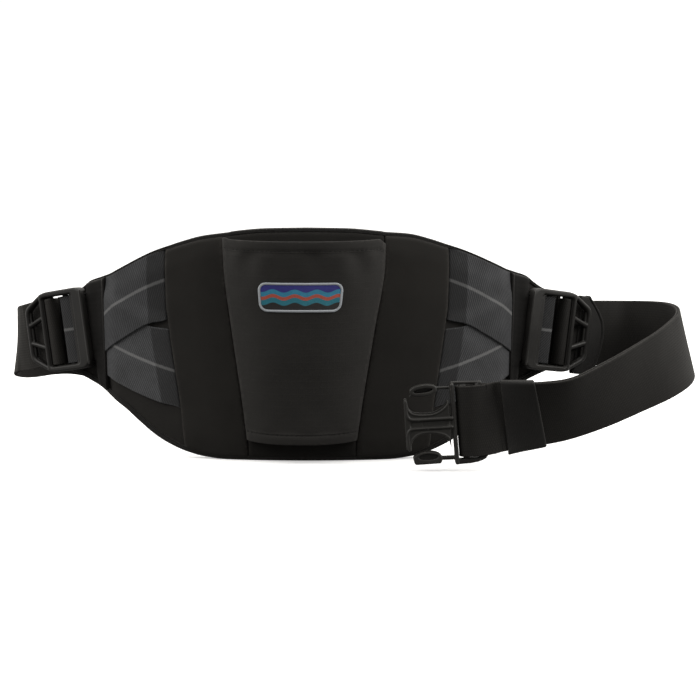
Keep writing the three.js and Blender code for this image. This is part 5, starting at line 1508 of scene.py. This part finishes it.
def female_shape(a, b, c):
    ac = np.abs(c)
    block = sd_box2(a, b, 1.0, 31.9, -17.6, 16.8, 0.9)
    block = np.maximum(block, np.minimum(3.9 - a, -b - 15.6) * 0.7)
    block = np.maximum(block, np.minimum(a - 20, b - 15.6) * 0.7)
    up, low_ = sd_poly(a, b, HOLE_UP), sd_poly(a, b, HOLE_LOW)
    web = np.maximum(np.maximum(block, -up), -low_)
    d = slab(web, ac, 3.1, 4.9, 0.5)
    # beads along both openings
    lip = np.minimum(np.abs(up - 0.7), np.abs(low_ - 0.7))
    lip = np.maximum(np.hypot(lip, ac - 4.65) - 0.75, np.maximum(a - 31.4, np.maximum(b - 16.6, -b - 16.6)))
    d = both(d, lip, 0.4)
    # the two ridges, the channel between them, and the knobs where they meet the bar
    for line in (RIDGE_UP, RIDGE_LOW):
        d = both(d, tube(a, b, ac, line, 4.8, 1.0), 0.45)
    d = less(d, slab(sd_box2(a, b, 4.4, 31.0, -0.6, 3.0, 1.2), ac, 4.1, 8, 0.3), 0.3)
    d = less(d, slab(sd_box2(a, b, 13.2, 13.9, -0.4, 2.8, 0.2), ac, 3.8, 8, 0.2), 0.2)
    for y in (4.2, -1.7):
        d = both(d, np.sqrt((a - 32.4) ** 2 + (b - y) ** 2 + (ac - 4.5) ** 2) - 1.45, 0.4)
    # mouth: rounded lips above and below, open between the plates
    d = both(d, slab(sd_box2(a, b, 0.9, 3.3, 10.6, 17.2, 1.1), c, -5.1, 5.1, 1.05), 0.6)
    d = both(d, slab(sd_box2(a, b, 1.2, 3.9, -16.0, -9.6, 1.1), c, -5.1, 5.1, 1.05), 0.6)
    # upright bar, with slits between it and the plates
    lean = a + 0.014 * b
    d = both(d, slab(sd_box2(lean, b, 33.5, 36.3, -28.4, 28.0, 1.2), c, -5.3, 5.3, 1.3), 0.3)
    d = both(d, slab(sd_box2(a, b, 30.6, 34.0, -0.6, 3.2, 0.5), ac, 3.2, 4.3, 0.5), 0.5)
    # arms beside the strap's bars: a knob ends the upper one, the lower one curls
    d = both(d, rod(a, b, c, (35, 28.0, 0), (53.4, 27.1, 0), 1.2), 0.6)
    d = both(d, np.sqrt((a - 53.9) ** 2 + (b - 27.0) ** 2 + (c / 1.3) ** 2) - 1.6, 0.7)
    foot = [(34.4, -28.6), (44, -28.4), (49, -27.8), (52.2, -26.9), (55.0, -25.6), (56.5, -23.7), (55.9, -23.0), (53.4, -24.2), (50, -24.7), (34.4, -24.9)]
    d = both(d, slab(sd_poly(lean, b, foot), c, -3.2, 3.2, 1.0), 0.6)
    # bars inside the strap's loop
    d = both(d, slab(sd_box2(a, b, 39.8, 44.4, -26, 26.6, 0.5), c, -1.9, 1.9, 1.5), 0.7)
    d = both(d, slab(sd_box2(a, b, 50.7, 54.5, -25, 26.6, 0.5), c, -2.2, 2.2, 1.5), 0.7)
    # upper loop, open, with a small nub under it
    hoop = np.abs(sd_oval(a, b, 14.8, 24.3, 8.0, 2.7, 4.0)) - 1.3
    d = both(d, slab(hoop, c, -3.6, 3.6, 0.55), 0.5)
    d = both(d, slab(sd_oval(a, b, 14.8, 24.3, 8.0, 2.7, 4.0), c, -2.6, -1.4, 0.3), 0.3)
    d = both(d, rod(a, b, c, (23.0, 25.3, 0), (34.0, 24.9, 0), 1.0), 0.8)
    d = both(d, rod(a, b, c, (7.6, 22.0, 0), (6.0, 20.6, 0), 0.85), 0.5)
    # lower loop: an oval top on a flat foot, with a deep recess
    foot = both(sd_oval(a, b, 15.0, -22.7, 9.9, 4.5), sd_box2(a, b, 5.6, 24.9, -27.0, -22.6, 2.0), 0.8)
    foot = np.maximum(foot, -27.0 - b)
    lower = slab(foot, c, -3.9, 3.9, 0.9)
    lower = less(lower, slab(sd_oval(a, b, 15.6, -21.9, 6.9, 2.2), ac, 0.8, 8, 0.3), 0.4)
    d = both(d, lower, 0.7)
    return both(d, rod(a, b, c, (23.6, -23.6, 0), (34.4, -23.9, 0), 1.5), 0.7)


def male_shape(a, b, c):
    d = slab(sd_box2(a, b, 30, 45.5, -28, 28, 2.0), c, -4.5, 4.5, 1.6)
    d = less(d, slab(sd_box2(a, b, 35.0, 42.0, -22, 22, 2.5), np.abs(c), 4.0, 8, 0.4), 0.5)
    d = both(d, slab(sd_box2(a, b, 53, 57, -28, 28, 1.4), c, -1.9, 1.9, 1.4), 0.7)
    d = both(d, slab(sd_box2(a, b, 6, 31, -3.5, 3.5, 1.4), c, -2.2, 2.2, 0.9), 1.2)
    d = both(d, slab(sd_box2(a, np.abs(b), 44, 57, 25.4, 28, 1.0), c, -1.9, 1.9, 0.9), 0.8)
    prong = sd_poly(a, np.abs(b), [(31, 12), (31, 19), (12, 20.5), (10, 23.5), (2, 18.5), (2, 15.5), (16, 14)])
    return both(d, slab(prong, c, -2.2, 2.2, 0.8), 1.2)


FINE = 0.45
for label in ("left", "right"):
    f = buckle_frame(label)
    moulded("buckle_" + label, buckle_shape, (-4.8, -31.5, -1), (59.7, 31.5, 10.2), FINE, f["o"], f["u"], f["w"], f["n"], "tension_buckle_" + label)
moulded("clasp_shown", female_shape, (-1.5, -30, -7.6), (60.6, 30, 7.6), FINE, CLASP_O, CLASP_A, CLASP_B, CLASP_C, "female_clasp")
moulded("clasp_hidden", male_shape, (0.5, -30, -5.6), (58.6, 30, 5.6), FINE * 1.25, MALE_O, MALE_A, MALE_B, MALE_C, "male_clasp")


def strap_threads():
    """Rows of thread that close the loops of both belt straps."""
    lines = []
    for st, at_mm in ((right_strap, (12.0, 15.0)), (left_strap, (6.5, 9.5))):
        for mm in at_mm:
            i = int(np.argmin(np.abs(st["run"] - mm)))
            ws = np.linspace(-22, 22, 50)
            path = st["c"][i] + ws[:, None] * st["w"][i] - (WEB / 2 + 0.02) * st["n"][i]
            lines.append(stitch_data(path, np.broadcast_to(-st["n"][i], path.shape), 2.2, 0.7, 0.5, 0.3))
            path = st["c"][i] + ws[:, None] * st["w"][i] + (WEB / 2 + 0.02) * st["n"][i]
            lines.append(stitch_data(path, np.broadcast_to(st["n"][i], path.shape), 2.2, 0.7, 0.5, 0.3))
    pts, q, uv = joined(lines)
    make("loop_thread", pts, q, THREAD, uv, slot="belt_webbing")


strap_threads()

# ------------------------------------------------------------- floor and lights

FRONT_LIGHT, SIDE_LIGHT, TOP_LIGHT, LOW_LIGHT = 0.34, 0.75, 0.35, 0.25


def floor():
    """A flat pale floor, bright enough to read as white."""
    k = Look("pale_floor", 0.8, 0.15)
    colour = k.blend(k.span(k.noise(0.002, 3.0), 0.3, 0.7), (0.86, 0.86, 0.86), (0.88, 0.88, 0.88))
    k.b.inputs["Emission Color"].default_value = (1, 1, 1, 1)
    k.b.inputs["Emission Strength"].default_value = 0.42
    mat = k.done(colour, None, k.bump(k.noise(0.2, 3.0), 0.02, 0.2))
    me = bpy.data.meshes.new("floor")
    h = 6.0
    me.from_pydata([(-h, -h, 0), (h, -h, 0), (h, h, 0), (-h, h, 0)], [], [(0, 1, 2, 3)])
    ob = bpy.data.objects.new("floor", me)
    bpy.context.scene.collection.objects.link(ob)
    me.materials.append(mat)
    # the belt is lit from the sides and above, as it is in front of a cut-out ground
    ob.visible_diffuse = ob.visible_glossy = False


floor()

# Light from all round: strong from both sides and behind, weak from in front.
world = bpy.data.worlds.new("studio")
bpy.context.scene.world = world
world.use_nodes = True
wt = world.node_tree
sky = next(n for n in wt.nodes if n.type == "BACKGROUND")
coord = wt.nodes.new("ShaderNodeTexCoord")
sep = wt.nodes.new("ShaderNodeSeparateXYZ")
wt.links.new(coord.outputs["Generated"], sep.inputs[0])


def world_math(op, a, b):
    n = wt.nodes.new("ShaderNodeMath")
    n.operation = op
    for i, x in enumerate((a, b)):
        if isinstance(x, bpy.types.NodeSocket):
            wt.links.new(x, n.inputs[i])
        else:
            n.inputs[i].default_value = x
    return n.outputs[0]


def world_ramp(x, a, b, to0, to1):
    n = wt.nodes.new("ShaderNodeMapRange")
    n.interpolation_type = "SMOOTHSTEP"
    for k, v in (("From Min", a), ("From Max", b), ("To Min", to0), ("To Max", to1)):
        n.inputs[k].default_value = v
    wt.links.new(x, n.inputs["Value"])
    return n.outputs["Result"]


behind = world_ramp(sep.outputs[1], -0.35, 0.5, FRONT_LIGHT, 1.08)
left_side = world_ramp(world_math("MULTIPLY", sep.outputs[0], -1.0), 0.45, 1.0, 0.0, 0.65 * SIDE_LIGHT)
right_side = world_ramp(sep.outputs[0], 0.45, 1.0, 0.0, SIDE_LIGHT)
sides = world_math("ADD", left_side, right_side)
above = world_ramp(sep.outputs[2], 0.15, 1.0, 0.0, TOP_LIGHT)
below = world_ramp(sep.outputs[2], -0.35, -0.02, LOW_LIGHT, 1.0)
total = world_math("ADD", world_math("ADD", behind, sides), above)
wt.links.new(world_math("MULTIPLY", total, below), sky.inputs["Strength"])
sky.inputs["Color"].default_value = (1, 0.975, 0.935, 1)


def soft_light(name, where, target, size, power, tint=(1, 1, 1)):
    data = bpy.data.lights.new(name, "AREA")
    data.shape, data.size, data.size_y = "RECTANGLE", size[0], size[1]
    data.energy, data.color = power, tint
    ob = bpy.data.objects.new(name, data)
    bpy.context.scene.collection.objects.link(ob)
    ob.location = where
    from mathutils import Vector

    ob.rotation_euler = (Vector(target) - Vector(where)).to_track_quat("-Z", "Y").to_euler()


soft_light("key", (-1.3, -0.45, 1.0), (0, 0, 0.08), (0.9, 0.8), 11.5, (1, 0.98, 0.95))
soft_light("fill", (1.4, -0.45, 0.9), (0.05, 0, 0.08), (0.9, 0.8), 14, (1, 0.98, 0.95))
soft_light("top", (0.0, 0.25, 1.7), (0, 0.05, 0.05), (1.8, 1.6), 16, (1, 0.98, 0.95))

cam = bpy.data.cameras.new("camera")
cam.lens, cam.sensor_width, cam.sensor_fit = 85, 36, "HORIZONTAL"
cam.clip_start, cam.clip_end = 0.05, 50
cam_ob = bpy.data.objects.new("camera", cam)
bpy.context.scene.collection.objects.link(cam_ob)
cam_ob.location = (0.031, -1.1741, 0.2030)
cam_ob.rotation_euler = (math.radians(84), 0, 0)
scene = bpy.context.scene
scene.camera = cam_ob
scene.view_settings.view_transform = "Standard"
scene.view_settings.look = "None"
scene.view_settings.exposure = 0.0
scene.view_settings.gamma = 1.0

count = {}
for o in bpy.data.objects:
    if o.type == "MESH" and not o.hide_render:
        o.data.calc_loop_triangles()
        count[o.name] = len(o.data.loop_triangles)
print("triangles", sum(count.values()), dict(sorted(count.items(), key=lambda c: -c[1])[:8]))
